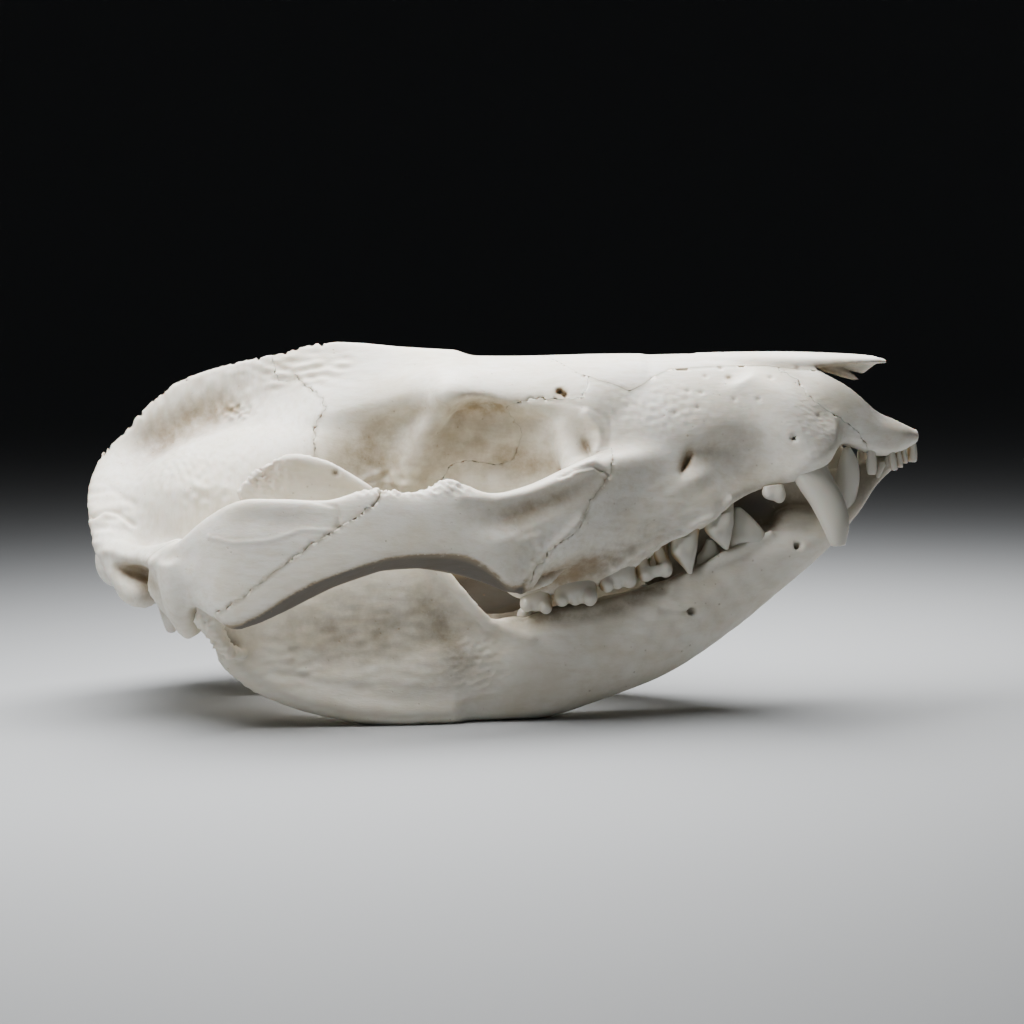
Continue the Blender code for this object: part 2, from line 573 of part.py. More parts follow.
def braincase_solids(grow=0.0):
    """Braincase, crests and the processes below it, on both sides."""
    pieces = [skull_loft("core", CORE[14:], sides=24, grow=grow),
              plate("crest", CREST, sides=8, grow=grow, power=2.0)]
    for ribs, sides in ((NECK_CREST, 10), (PAROCCIPITAL, 8)):
        pieces.append(plate("process", ribs, sides=sides, grow=grow))
        pieces.append(plate("process", mirrored_ribs(ribs), sides=sides, grow=grow))
    for sizes in (OCCIPITAL_CONDYLE, EAR_BULB):
        pieces.append(knob("knob", sizes))
        pieces.append(knob("knob", mirrored_knob(sizes)))
    return pieces


def make_braincase():
    whole = fuse(braincase_solids())
    whole = cut(whole, [knob("hole", BRAIN_STEM_HOLE)])
    return within(whole, slab("region", behind(CORONAL_SUTURE), -REACH, REACH))


def make_frontal():
    whole = fuse([skull_loft("core", CORE[8:19], sides=24), skull_loft("brow", BROW, sides=20),
                  plate("crest", CREST, sides=8, power=2.0)])
    whole = cut(whole, [skull_loft("bed", NASAL, sides=16, grow=GAP)])
    whole = within(whole, slab("region", ahead(CORONAL_SUTURE), -REACH, REACH))
    return within(whole, slab("region", behind(ORBIT_SUTURE), -REACH, REACH))


def snout_solids(grow=0.0):
    """Snout and palate with the right gum, which bound the cheek bone."""
    return [skull_loft("core", CORE[:17], sides=24, grow=grow),
            skull_loft("brow", BROW, sides=20, grow=grow),
            plate("gum", GUM, sides=10, grow=grow),
            plate("swelling", CANINE_SWELLING, sides=8, grow=grow, power=2.0),
            plate("wing", PTERYGOID, sides=8, grow=grow)]


def make_maxilla():
    cheek = within(plate("cheek", ARCH, sides=10), slab("region", ahead(CHEEK_SUTURE), -REACH, -9.0))
    whole = fuse(snout_solids() + [cheek])
    whole = cut(whole, [skull_loft("bed", NASAL, sides=16, grow=GAP)])
    whole = cut(whole, [skull_loft("nose", NOSE_OPENING, sides=14), knob("hole", CHEEK_HOLE)])
    whole = within(whole, slab("region", behind(MUZZLE_SUTURE), -REACH, REACH))
    whole = within(whole, slab("region", ahead(ORBIT_SUTURE + [PALATE_END]), -REACH, REACH))
    whole = within(whole, right_half())
    return fuse([whole] + molars(UPPER_MOLARS, -1) + cones(UPPER_CONES) + [canine(UPPER_CANINE)])


def make_premaxilla():
    whole = fuse(snout_solids())
    whole = cut(whole, [skull_loft("bed", NASAL, sides=16, grow=GAP)])
    whole = cut(whole, [skull_loft("nose", NOSE_OPENING, sides=14)])
    whole = within(whole, slab("region", ahead(MUZZLE_SUTURE), -REACH, REACH))
    whole = within(whole, right_half())
    return fuse([whole] + incisors(UPPER_INCISORS, -1))


def make_nasal():
    roof = skull_loft("nasal", NASAL, sides=16)
    roof = within(roof, right_half())
    return fuse([roof, plate("broken_plate", NASAL_PLATE, sides=6)])


def make_jugal():
    whole = plate("jugal", ARCH, sides=10, steps=2)
    whole = within(whole, slab("region", behind(CHEEK_SUTURE), -REACH, -9.0))
    whole = within(whole, slab("region", ahead(ARCH_SUTURE), -REACH, -9.0))
    return cut(whole, snout_solids(grow=GAP))


def make_squamosal():
    arch = within(plate("arch", ARCH, sides=10, steps=2), slab("region", behind(ARCH_SUTURE), -REACH, -9.0))
    whole = fuse([arch, plate("shelf", GLENOID_SHELF, sides=10), plate("process", POSTGLENOID, sides=10)])
    whole = cut(whole, jaw_solids(grow=GAP))
    return cut(whole, braincase_solids(grow=GAP))


def jaw_solids(grow=0.0):
    return [plate("body", JAW_BODY, sides=12, grow=grow), plate("branch", JAW_BRANCH, sides=8, grow=grow),
            plate("condyle", JAW_CONDYLE, sides=10, grow=grow), plate("angle", JAW_ANGLE, sides=8, grow=grow)]


def make_dentary():
    whole = fuse(jaw_solids())
    whole = within(whole, right_half())
    whole = fuse([whole] + molars(LOWER_MOLARS, 1) + cones(LOWER_CONES) + [canine(LOWER_CANINE)]
                 + incisors(LOWER_INCISORS, 1))
    floor = [(-REACH, 0), (REACH, 0), (REACH, REACH), (-REACH, REACH)]
    return within(whole, slab("region", floor, -REACH, REACH))


def canine(ribs):
    return plate("canine", ribs, sides=8, steps=2, power=2.0)


def tapered(places, length, width, sides):
    """A tooth, longest along the row, through (point, share of its full size) pairs."""
    ribs = []
    for (x, y, z), share in places:
        ribs.append(Rib((x + length * share, y, z), (x - length * share, y, z), width * share))
    return plate("tooth", ribs, sides=sides, power=2.2)


def cones(rows):
    teeth = []
    for row in rows:
        neck, tip = np.array(row.neck), np.array(row.tip)
        root = neck - (tip - neck) * ROOT_DEPTH / np.linalg.norm(tip - neck)
        teeth.append(tapered([(root, 0.8), (neck, 1.0), (tip, 0.2)], row.length, row.width, sides=8))
    return teeth


def incisors(rows, up):
    teeth = []
    for (x, y, z), reach in rows:
        root = (x - 0.6, y, z - up * 0.8)
        tip = (x + 0.35, y, z + up * reach)
        teeth.append(tapered([(root, 1.0), (tip, 0.75)], INCISOR_HALF, INCISOR_HALF, sides=6))
    return teeth


def molars(rows, up):
    """Cheek teeth: each a low crown with cusps along its outer edge and one inside."""
    teeth = []
    for row in rows:
        inside = row.outer + row.width
        root = (row.x, inside, row.gum - up * ROOT_DEPTH)
        neck = (row.x, inside, row.gum)
        top = (row.x, inside, row.gum + up * row.crown)
        teeth.append(tapered([(root, 0.8), (neck, 1.0), (top, 0.94)], row.length, row.width, sides=8))
        for offset, height in row.cusps:
            x, y = row.x + offset, row.outer + CUSP_HALF
            base, tip = (x, y, row.gum - up * 0.5), (x, y, row.gum + up * (row.crown + height))
            teeth.append(tapered([(base, 1.0), (tip, 0.4)], row.length * CUSP_SHARE, CUSP_HALF, sides=6))
    return teeth


def bone_material(name, colour):
    material = bpy.data.materials.new(name)
    material.use_nodes = True
    shader = material.node_tree.nodes["Principled BSDF"]
    shader.inputs["Base Color"].default_value = colour
    shader.inputs["Roughness"].default_value = BONE_ROUGHNESS
    shader.inputs["Metallic"].default_value = 0.0
    return material


def name_bone(piece, name, colour, group):
    """Names a finished bone, gives it its own material and puts it in the skull's collection."""
    piece.name = name
    piece.data.name = name
    piece.data.materials.clear()
    piece.data.materials.append(bone_material(name + "_bone", colour))
    bpy.context.scene.collection.objects.unlink(piece)
    group.objects.link(piece)


def main():
    for item in list(bpy.data.objects):
        bpy.data.objects.remove(item)
    skull = bpy.data.collections.new("opossum_skull")
    bpy.context.scene.collection.children.link(skull)
    for name, make in (("braincase", make_braincase), ("frontal", make_frontal)):
        name_bone(lightened(largest_surface(make())), name, BONE, skull)
    for name, make in (("maxilla", make_maxilla), ("premaxilla", make_premaxilla), ("nasal", make_nasal),
                       ("jugal", make_jugal), ("squamosal", make_squamosal), ("dentary", make_dentary)):
        right = lightened(largest_surface(make()))
        left = mirrored(right, name + "_left")
        colour = BONE_SHADED if name == "dentary" else BONE
        name_bone(right, name + "_right", colour, skull)
        name_bone(left, name + "_left", colour, skull)


main()
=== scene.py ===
"""Looks of an old male opossum's skull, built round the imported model.

Bones are shaped in blocks of signed distances, where soft joins and hollows blend as they do on real
bone. Each bone is then cut out along its sutures, meshed, and worked over with small strokes, dents
and roughness. Teeth are shaped the same way in finer blocks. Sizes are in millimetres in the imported
model's frame: the snout points along +X, the right side faces -Y and the floor is z = 0. The right
half is shaped, and the left one is its mirror image.
"""

import logging
from dataclasses import dataclass
from enum import Enum
from math import cos, pi, radians, sin
from typing import Any, Protocol, Sequence

import bpy
import numpy as np
import openvdb as vdb
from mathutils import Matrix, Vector


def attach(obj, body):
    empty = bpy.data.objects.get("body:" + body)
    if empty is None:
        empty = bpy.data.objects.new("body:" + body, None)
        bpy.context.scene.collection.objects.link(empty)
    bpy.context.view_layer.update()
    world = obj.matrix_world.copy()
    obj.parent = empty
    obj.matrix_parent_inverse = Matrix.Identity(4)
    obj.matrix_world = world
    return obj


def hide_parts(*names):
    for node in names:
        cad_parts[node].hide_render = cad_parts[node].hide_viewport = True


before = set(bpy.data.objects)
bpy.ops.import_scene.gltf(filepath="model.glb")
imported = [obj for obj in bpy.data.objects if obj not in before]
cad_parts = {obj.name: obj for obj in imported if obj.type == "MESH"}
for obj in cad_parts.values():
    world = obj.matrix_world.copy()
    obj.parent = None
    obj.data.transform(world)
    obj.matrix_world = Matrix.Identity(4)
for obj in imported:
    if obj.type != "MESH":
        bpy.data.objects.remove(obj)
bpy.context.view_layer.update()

MM = 0.001
BODY = "root"
GAP = 0.03               # width of a suture, face to face
BONE_CELL = 0.32
TOOTH_CELL = 0.15
SPAN_STEPS = 6           # rings of a tube for each span between two sections
SECTION_SIDES = 64       # points in a ring of a tube through sections
REACH = 4.0              # how far from a surface its distances are kept
OUTSIDE = 90.0           # half size of the outlines that bound a bone's region

log = logging.getLogger("opossum_skull")

Point = tuple[float, float, float]
Line = Sequence[tuple[float, float]]


class Join(Enum):
    """How a form meets what a block already holds."""

    ADD = "add"
    CARVE = "carve"


class Face(Enum):
    """Which way a surface looks that a stroke or a dent works on."""

    SIDE = "side"
    TOP = "top"
    UNDER = "under"
    ANY = "any"


@dataclass(frozen=True)
class Section:
    """A section across the skull: place, roof, floor, half width, height of the widest point, and how
    square its upper and lower halves are (2 is an ellipse)."""

    x: float
    roof: float
    floor: float
    half: float
    widest: float
    arch: float = 2.4
    bed: float = 2.4


@dataclass(frozen=True)
class Rib:
    """A section of a plate or strut: its two edges and its half thickness."""

    upper: Point
    lower: Point
    half: float


def sections(*rows: Sequence[float]) -> tuple[Section, ...]:
    """Sections from rows of their numbers."""
    return tuple(Section(*row) for row in rows)


def ribs(*rows: Sequence[float]) -> tuple[Rib, ...]:
    """Ribs from rows of the upper edge's x, y and z, the lower edge's, and the half thickness."""
    return tuple(Rib(row[0:3], row[3:6], row[6]) for row in rows)


def smoothed(rows: Sequence[Sequence[float]]) -> np.ndarray:
    """Puts a smooth curve through rows of numbers.

    Args:
        rows: the rows that the curve goes through.

    Returns:
        The rows along the curve.
    """
    table = np.array(rows, dtype=float)
    padded = np.vstack([2 * table[0] - table[1], table, 2 * table[-1] - table[-2]])
    t = (np.arange(SPAN_STEPS) / SPAN_STEPS)[:, None]
    spans = []
    for p0, p1, p2, p3 in zip(padded, padded[1:], padded[2:], padded[3:]):
        bend = 2 * p0 - 5 * p1 + 4 * p2 - p3
        twist = 3 * p1 - p0 - 3 * p2 + p3
        spans.append(0.5 * (2 * p1 + (p2 - p0) * t + bend * t ** 2 + twist * t ** 3))
    return np.vstack(spans + [table[-1:]])


def rounded(angles: np.ndarray, power: float) -> tuple[np.ndarray, np.ndarray]:
    """Gives the cosine and sine of a superellipse.

    Args:
        angles: places round it.
        power: 2 for an ellipse, more for a squarer shape.

    Returns:
        The two coordinates of each place.
    """
    c, s = np.cos(angles), np.sin(angles)
    return np.sign(c) * np.abs(c) ** (2 / power), np.sign(s) * np.abs(s) ** (2 / power)


def soft_min(a: np.ndarray, b: np.ndarray, soft: float) -> np.ndarray:
    """Joins two distance fields with a fillet.

    Args:
        a: one field.
        b: the other field.
        soft: width of the fillet.

    Returns:
        The joined field.
    """
    meet = np.maximum(soft - np.abs(a - b), 0.0)
    return np.minimum(a, b) - meet * meet * (0.25 / soft)


@dataclass(frozen=True)
class Patch:
    """A box of cells out of a block."""

    first: np.ndarray
    count: np.ndarray
    cell: float

    def axes(self) -> tuple[np.ndarray, np.ndarray, np.ndarray]:
        """The cells' coordinates along x, y and z, shaped to spread over the box."""
        x, y, z = [(self.first[i] + np.arange(self.count[i])) * self.cell for i in range(3)]
        return x[:, None, None], y[None, :, None], z[None, None, :]


class Form(Protocol):
    """Something that fills a block's cells with its distances."""

    def box(self) -> tuple[np.ndarray, np.ndarray]:
        """Its lowest and highest corner."""

    def distances(self, patch: Patch) -> np.ndarray:
        """Its signed distance at each cell of the patch."""


class Tube:
    """A closed tube through rings of points."""

    def __init__(self, rings: np.ndarray) -> None:
        """Keeps the rings, an array of rings by points by three."""
        self.rings = rings

    @classmethod
    def of_sections(cls, rows: Sequence[Section]) -> "Tube":
        """Makes a tube through sections across the skull.

        Args:
            rows: the sections.

        Returns:
            The tube.
        """
        angles = 2 * pi * (np.arange(SECTION_SIDES) + 0.5) / SECTION_SIDES
        up = np.sin(angles) > 0
        rings = []
        table = [(r.x, r.roof, r.floor, r.half, r.widest, r.arch, r.bed) for r in rows]
        for x, roof, floor, half, widest, arch, bed in smoothed(table):
            upper, lower = rounded(angles, arch), rounded(angles, bed)
            across = np.where(up, upper[0], lower[0]) * half
            high = np.where(up, upper[1] * (roof - widest), lower[1] * (widest - floor))
            rings.append(np.column_stack([np.full(SECTION_SIDES, x), across, widest + high]))
        return cls(np.array(rings))

    @classmethod
    def of_ribs(cls, rows: Sequence[Rib], power: float = 2.4, sides: int = 40) -> "Tube":
        """Makes a plate or strut through ribs.

        Args:
            rows: the ribs.
            power: how square its section is.
            sides: points in a ring.

        Returns:
            The tube.
        """
        table = smoothed([(*rib.upper, *rib.lower, rib.half) for rib in rows])
        upper, lower, half = table[:, 0:3], table[:, 3:6], table[:, 6:7]
        middle = (upper + lower) / 2
        chord = (upper - lower) / 2
        normal = np.cross(np.gradient(middle, axis=0), chord)
        normal /= np.linalg.norm(normal, axis=1, keepdims=True)
        across, thick = rounded(2 * pi * np.arange(sides) / sides, power)
        rings = middle[:, None] + across[None, :, None] * chord[:, None]
        return cls(rings + thick[None, :, None] * (normal * half)[:, None])

    def box(self) -> tuple[np.ndarray, np.ndarray]:
        """Its lowest and highest corner."""
        flat = self.rings.reshape(-1, 3)
        return flat.min(axis=0), flat.max(axis=0)

    def distances(self, patch: Patch) -> np.ndarray:
        """Its signed distance at each cell of the patch."""
        rows, sides = self.rings.shape[:2]
        centres = [self.rings[end].mean(axis=0) for end in (0, -1)]
        points = np.vstack([self.rings.reshape(-1, 3), *centres])
        index = np.arange(rows * sides).reshape(rows, sides)
        here, there = index[:-1], index[1:]
        quads = np.stack([here, np.roll(here, -1, 1), np.roll(there, -1, 1), there], -1).reshape(-1, 4)
        starts = np.stack([np.roll(index[0], -1), index[0], np.full(sides, rows * sides)], -1)
        ends = np.stack([index[-1], np.roll(index[-1], -1), np.full(sides, rows * sides + 1)], -1)
        grid = vdb.FloatGrid.createLevelSetFromPolygons(
            points.astype(np.float32), triangles=np.vstack([starts, ends]).astype(np.uint32),
            quads=quads.astype(np.uint32), transform=vdb.createLinearTransform(patch.cell),
            halfWidth=REACH / patch.cell)
        values = np.full(tuple(patch.count), REACH, np.float32)
        grid.copyToArray(values, ijk=tuple(int(i) for i in patch.first))
        return values


@dataclass(frozen=True)
class Knob:
    """An ellipsoid, pitched up towards +X and turned towards +Y by angles in degrees."""

    centre: Point
    half: Point
    pitch: float = 0.0
    turn: float = 0.0

    def box(self) -> tuple[np.ndarray, np.ndarray]:
        """Its lowest and highest corner, or a little more."""
        size = max(self.half) if self.pitch or self.turn else np.array(self.half)
        return np.array(self.centre) - size, np.array(self.centre) + size

    def distances(self, patch: Patch) -> np.ndarray:
        """Its signed distance at each cell of the patch."""
        x, y, z = [axis - c for axis, c in zip(patch.axes(), self.centre)]
        c, s = cos(radians(self.turn)), sin(radians(self.turn))
        x, y = c * x + s * y, c * y - s * x
        c, s = cos(radians(self.pitch)), sin(radians(self.pitch))
        x, z = c * x + s * z, c * z - s * x
        a, b, d = self.half
        outer = np.sqrt((x / a) ** 2 + (y / b) ** 2 + (z / d) ** 2)
        slope = np.sqrt((x / a ** 2) ** 2 + (y / b ** 2) ** 2 + (z / d ** 2) ** 2)
        near = outer * (outer - 1) / np.maximum(slope, 1e-6)
        return np.clip(near, -REACH, REACH).astype(np.float32)


@dataclass(frozen=True)
class Strand:
    """A round rod through points, each given as x, y, z and its radius there."""

    points: Sequence[tuple[float, float, float, float]]

    def box(self) -> tuple[np.ndarray, np.ndarray]:
        """Its lowest and highest corner."""
        table = np.array(self.points)
        return (table[:, :3] - table[:, 3:]).min(axis=0), (table[:, :3] + table[:, 3:]).max(axis=0)

    def distances(self, patch: Patch) -> np.ndarray:
        """Its signed distance at each cell of the patch."""
        x, y, z = patch.axes()
        best = np.full(tuple(patch.count), REACH, np.float32)
        table = np.array(self.points)
        for a, b in zip(table, table[1:]):
            step = b - a
            span = max(float(step[:3] @ step[:3]), 1e-6)
            t = np.clip(((x - a[0]) * step[0] + (y - a[1]) * step[1] + (z - a[2]) * step[2]) / span, 0, 1)
            gap = (x - a[0] - t * step[0]) ** 2 + (y - a[1] - t * step[1]) ** 2
            gap = gap + (z - a[2] - t * step[2]) ** 2
            best = np.minimum(best, np.sqrt(gap) - (a[3] + t * step[3]))
        return best.astype(np.float32)


class Mould:
    """A block of signed distances, negative inside, that forms are added to and carved from."""

    def __init__(self, low: Point, high: Point, cell: float) -> None:
        """Makes an empty block between two corners with cells of one size."""
        self.cell = cell
        self.first = np.floor(np.array(low) / cell).astype(int)
        self.count = np.ceil(np.array(high) / cell).astype(int) - self.first + 1
        self.values = np.full(tuple(self.count), REACH, np.float32)

    @classmethod
    def around(cls, forms: Sequence[Form], cell: float, margin: float = 1.0) -> "Mould":
        """Makes an empty block that just holds some forms.

        Args:
            forms: the forms.
            cell: size of a cell.
            margin: room left round them.

        Returns:
            The block.
        """
        boxes = [form.box() for form in forms]
        low = np.min([box[0] for box in boxes], axis=0) - margin
        high = np.max([box[1] for box in boxes], axis=0) + margin
        return cls(tuple(low), tuple(high), cell)

    def copy(self) -> "Mould":
        """A second block with the same distances."""
        twin = Mould.__new__(Mould)
        twin.cell, twin.first, twin.count = self.cell, self.first, self.count
        twin.values = self.values.copy()
        return twin

    def patch(self, low: np.ndarray, high: np.ndarray) -> tuple[Patch, tuple[slice, ...]]:
        """Finds the cells between two corners.

        Args:
            low: the lowest corner.
            high: the highest corner.

        Returns:
            The box of cells, and where it is in the block.
        """
        start = np.clip(np.floor(low / self.cell).astype(int) - self.first, 0, self.count)
        stop = np.clip(np.ceil(high / self.cell).astype(int) - self.first + 1, start, self.count)
        where = tuple(slice(a, b) for a, b in zip(start, stop))
        return Patch(self.first + start, stop - start, self.cell), where

    def work(self, form: Form, join: Join = Join.ADD, soft: float = 1.0) -> "Mould":
        """Adds or carves a form.

        Args:
            form: what is added or carved.
            join: which of the two.
            soft: width of the fillet where it meets the rest.

        Returns:
            The block itself.
        """
        low, high = form.box()
        patch, where = self.patch(low - REACH, high + REACH)
        if not patch.count.all():
            return self
        near, here = form.distances(patch), self.values[where]
        if join is Join.ADD:
            self.values[where] = soft_min(here, near, soft)
        else:
            self.values[where] = -soft_min(-here, near, soft)
        return self

    def add(self, *forms: Form, soft: float = 1.0) -> "Mould":
        """Adds forms with fillets of one width."""
        for form in forms:
            self.work(form, Join.ADD, soft)
        return self

    def carve(self, *forms: Form, soft: float = 0.5) -> "Mould":
        """Carves forms out with edges rounded by one width."""
        for form in forms:
            self.work(form, Join.CARVE, soft)
        return self

    def joined(self, other: "Mould", soft: float) -> "Mould":
        """A new block of this one and another with a fillet between them."""
        twin = self.copy()
        twin.values = soft_min(self.values, other.values, soft)
        return twin

    def within(self, limit: np.ndarray, soft: float = 0.05) -> "Mould":
        """A new block that keeps only what is inside a limit, given as distances over the cells."""
        twin = self.copy()
        twin.values = -soft_min(-self.values, -limit.astype(np.float32), soft)
        return twin

    def whole(self) -> Patch:
        """All cells of the block."""
        return Patch(self.first, self.count, self.cell)

    def both_sides(self) -> "Mould":
        """A new block of this right half and its mirror image."""
        middle = -int(self.first[1])
        right = self.values[:, :middle + 1]
        twin = self.copy()
        twin.values = np.concatenate([right, right[:, -2::-1]], axis=1)
        twin.count = np.array(twin.values.shape)
        return twin

    def surface(self, fewest: int = 0) -> tuple[np.ndarray, np.ndarray]:
        """Meshes the block's surface.

        Args:
            fewest: the fewest faces of a closed surface that is kept, or 0 for only the largest one.

        Returns:
            The points, in millimetres, and the four-sided faces.
        """
        grid = vdb.FloatGrid(REACH)
        grid.copyFromArray(self.values, ijk=tuple(int(i) for i in self.first), tolerance=0.0)
        grid.transform = vdb.createLinearTransform(self.cell)
        points, _, quads = grid.convertToPolygons(isovalue=0.0, adaptivity=0.0)
        return cleared(points.astype(float), quads.astype(int), fewest)

    def look(self, points: np.ndarray) -> tuple[np.ndarray, np.ndarray]:
        """Reads the distance at each of some points, and the way out of the shape there.

        Args:
            points: the points.

        Returns:
            A distance and a unit vector for each point.
        """
        index = points / self.cell - self.first
        base = np.clip(np.floor(index).astype(int), 0, self.count - 2)
        i, j, k = base.T
        ends = (0, 1)
        cube = np.stack([self.values[i + a, j + b, k + c] for a in ends for b in ends for c in ends], -1)
        cube, part = cube.reshape(-1, 2, 2, 2), index - base
        wx, wy, wz = [np.stack([1 - part[:, axis], part[:, axis]], -1) for axis in range(3)]
        value = np.einsum("nabc,na,nb,nc->n", cube, wx, wy, wz)
        rise = np.column_stack([
            np.einsum("nbc,nb,nc->n", cube[:, 1] - cube[:, 0], wy, wz),
            np.einsum("nac,na,nc->n", cube[:, :, 1] - cube[:, :, 0], wx, wz),
            np.einsum("nab,na,nb->n", cube[:, :, :, 1] - cube[:, :, :, 0], wx, wy)])
        return value, rise / np.maximum(np.linalg.norm(rise, axis=1, keepdims=True), 1e-9)

    def bounded(self, limit: np.ndarray) -> "Mould":
        """A block of the same cells that holds a limit instead."""
        twin = self.copy()
        twin.values = np.broadcast_to(limit, self.values.shape).astype(np.float32)
        return twin


def cleared(points: np.ndarray, quads: np.ndarray, fewest: int) -> tuple[np.ndarray, np.ndarray]:
    """Drops loose scraps of a mesh.

    Args:
        points: the mesh's points.
        quads: its faces.
        fewest: the fewest faces of a connected surface that is kept, or 0 for only the largest one.

    Returns:
        The points and faces that are kept.
    """
    label = np.arange(len(points))
    a, b = quads.ravel(), np.roll(quads, -1, 1).ravel()
    while True:
        low = np.minimum(label[a], label[b])
        new = label.copy()
        np.minimum.at(new, label[a], low)
        np.minimum.at(new, label[b], low)
        new = new[new]
        if np.array_equal(new, label):
            break
        label = new
    names, counts = np.unique(label[quads[:, 0]], return_counts=True)
    kept = names[counts >= (fewest or counts.max())]
    faces = quads[np.isin(label[quads[:, 0]], kept)]
    used, renamed = np.unique(faces, return_inverse=True)
    return points[used], renamed.reshape(-1, 4)


def relaxed(points: np.ndarray, quads: np.ndarray, rounds: int, share: float = 0.5) -> np.ndarray:
    """Evens out a mesh by moving each point towards its neighbours.

    Args:
        points: the mesh's points.
        quads: its faces.
        rounds: how often.
        share: how far towards them.

    Returns:
        The moved points.
    """
    a, b = quads.ravel(), np.roll(quads, -1, 1).ravel()
    count = np.bincount(a, minlength=len(points)) + np.bincount(b, minlength=len(points))
    for _ in range(rounds):
        mean = np.empty_like(points)
        for axis in range(3):
            value = points[:, axis]
            total = np.bincount(a, value[b], len(points)) + np.bincount(b, value[a], len(points))
            mean[:, axis] = total / count
        points = points + (mean - points) * share
    return points


def ripple(points: np.ndarray, length: float, seed: int, waves: int = 14) -> np.ndarray:
    """Gives smooth noise of one wavelength, about one in size.

    Args:
        points: where it is wanted.
        length: its wavelength.
        seed: which noise.
        waves: how many waves make it up.

    Returns:
        A value for each point.
    """
    draw = np.random.default_rng(seed)
    slowest, fastest = 0.75, 1.3     # how the waves spread round the one length
    ways = draw.normal(size=(waves, points.shape[1]))
    ways /= np.linalg.norm(ways, axis=1, keepdims=True)
    ways *= (2 * pi / length) * draw.uniform(slowest, fastest, (waves, 1))
    phases = draw.uniform(0, 2 * pi, waves)
    total = np.zeros(len(points))
    for way, phase in zip(ways, phases):
        total += np.sin(points @ way + phase)
    return total * (2 / waves) ** 0.5


def lengths_along(corners: np.ndarray) -> np.ndarray:
    """How far along a line each of its corners lies."""
    return np.concatenate([[0], np.cumsum(np.linalg.norm(np.diff(corners, axis=0), axis=1))])


def line_distance(points: np.ndarray, line: Line) -> np.ndarray:
    """Finds the distance of flat points from a line through others.

    Args:
        points: the flat points.
        line: the points that the line goes through.

    Returns:
        A distance for each point.
    """
    best = np.full(len(points), np.inf)
    corners = np.array(line, dtype=float)
    for a, b in zip(corners, corners[1:]):
        step = b - a
        t = np.clip((points - a) @ step / max(step @ step, 1e-9), 0, 1)
        best = np.minimum(best, ((points - a - t[:, None] * step) ** 2).sum(axis=1))
    return np.sqrt(best)


def inside_outline(points: np.ndarray, outline: Line) -> np.ndarray:
    """Says which flat points an outline holds.

    Args:
        points: the flat points.
        outline: the outline's corners.

    Returns:
        True or False for each point.
    """
    corners = np.array(outline, dtype=float)
    held = np.zeros(len(points), bool)
    for (ax, az), (bx, bz) in zip(corners, np.roll(corners, -1, 0)):
        if az == bz:
            continue
        crosses = (az > points[:, 1]) != (bz > points[:, 1])
        held ^= crosses & (points[:, 0] < ax + (points[:, 1] - az) * (bx - ax) / (bz - az))
    return held


@dataclass(frozen=True)
class Suture:
    """A line seen from the side that parts two bones, from the top down, with small waves in it."""

    line: Line
    wave: float              # how far the waves swing
    length: float            # how long they are
    seed: int
    step: float = 0.4        # from point to point along it
    finer: float = 2.3       # how much shorter the second set of waves is, and half as high
    waves: int = 9           # sine waves in each set
    calm: float = 3.0        # length at each end over which the waves grow

    def course(self) -> np.ndarray:
        """The line with its waves, as flat points."""
        corners = np.array(self.line, dtype=float)
        along = lengths_along(corners)
        places = np.arange(0, along[-1], self.step)
        course = np.column_stack([np.interp(places, along, corners[:, i]) for i in range(2)])
        way = np.gradient(course, axis=0)
        way /= np.linalg.norm(way, axis=1, keepdims=True)
        swing = ripple(places[:, None], self.length, self.seed, self.waves)
        small = ripple(places[:, None], self.length / self.finer, self.seed + 7, self.waves)
        swing = self.wave * (swing + 0.5 * small)
        fade = np.clip(np.minimum(places, along[-1] - places) / self.calm, 0, 1)
        return course + np.column_stack([-way[:, 1], way[:, 0]]) * (swing * fade)[:, None]

    def limit(self, mould: Mould, ahead: bool) -> np.ndarray:
        """Gives distances that are negative on one side of the suture.

        Args:
            mould: the block whose cells they are for.
            ahead: whether the side is the one towards the snout.

        Returns:
            Distances that spread over the block's cells, moved by half the gap.
        """
        x, _, z = mould.whole().axes()
        course = self.course()
        end = OUTSIDE if ahead else -OUTSIDE
        outline = list(course) + [(end, course[-1][1] - OUTSIDE), (end, course[0][1] + OUTSIDE)]
        flat = np.column_stack([np.repeat(x.ravel(), z.size), np.tile(z.ravel(), x.size)])
        near = np.full(len(flat), REACH)
        coarse, swerve = 12, 2.0     # a first look along every twelfth point, up to 2 mm off the line
        rough_line = course[::coarse].tolist() + [course[-1].tolist()]
        close = line_distance(flat, rough_line) < REACH + swerve
        near[close] = np.minimum(line_distance(flat[close], course), REACH)
        signed = np.where(inside_outline(flat, outline), -near, near) + GAP / 2
        return signed.reshape(x.size, 1, z.size)


@dataclass(frozen=True)
class Stroke:
    """A ridge, or a groove where the height is negative, along a line on one face of a bone."""

    line: Line
    width: float
    height: float
    face: Face = Face.SIDE
    near: float = -40.0      # the range of y, on the right side, where it works
    far: float = 0.0


@dataclass(frozen=True)
class Dent:
    """A soft swelling, or a hollow where the height is negative, on one face of a bone."""

    centre: tuple[float, float]
    size: tuple[float, float]
    height: float
    face: Face = Face.SIDE
    near: float = -40.0
    far: float = 0.0
    lean: float = 0.0        # how far its long side is turned up from +X, in degrees


@dataclass(frozen=True)
class Rough:
    """Uneven bone in a soft patch."""

    centre: Point
    size: Point
    length: float
    height: float
    seed: int
    stretch: Point = (1.0, 1.0, 1.0)


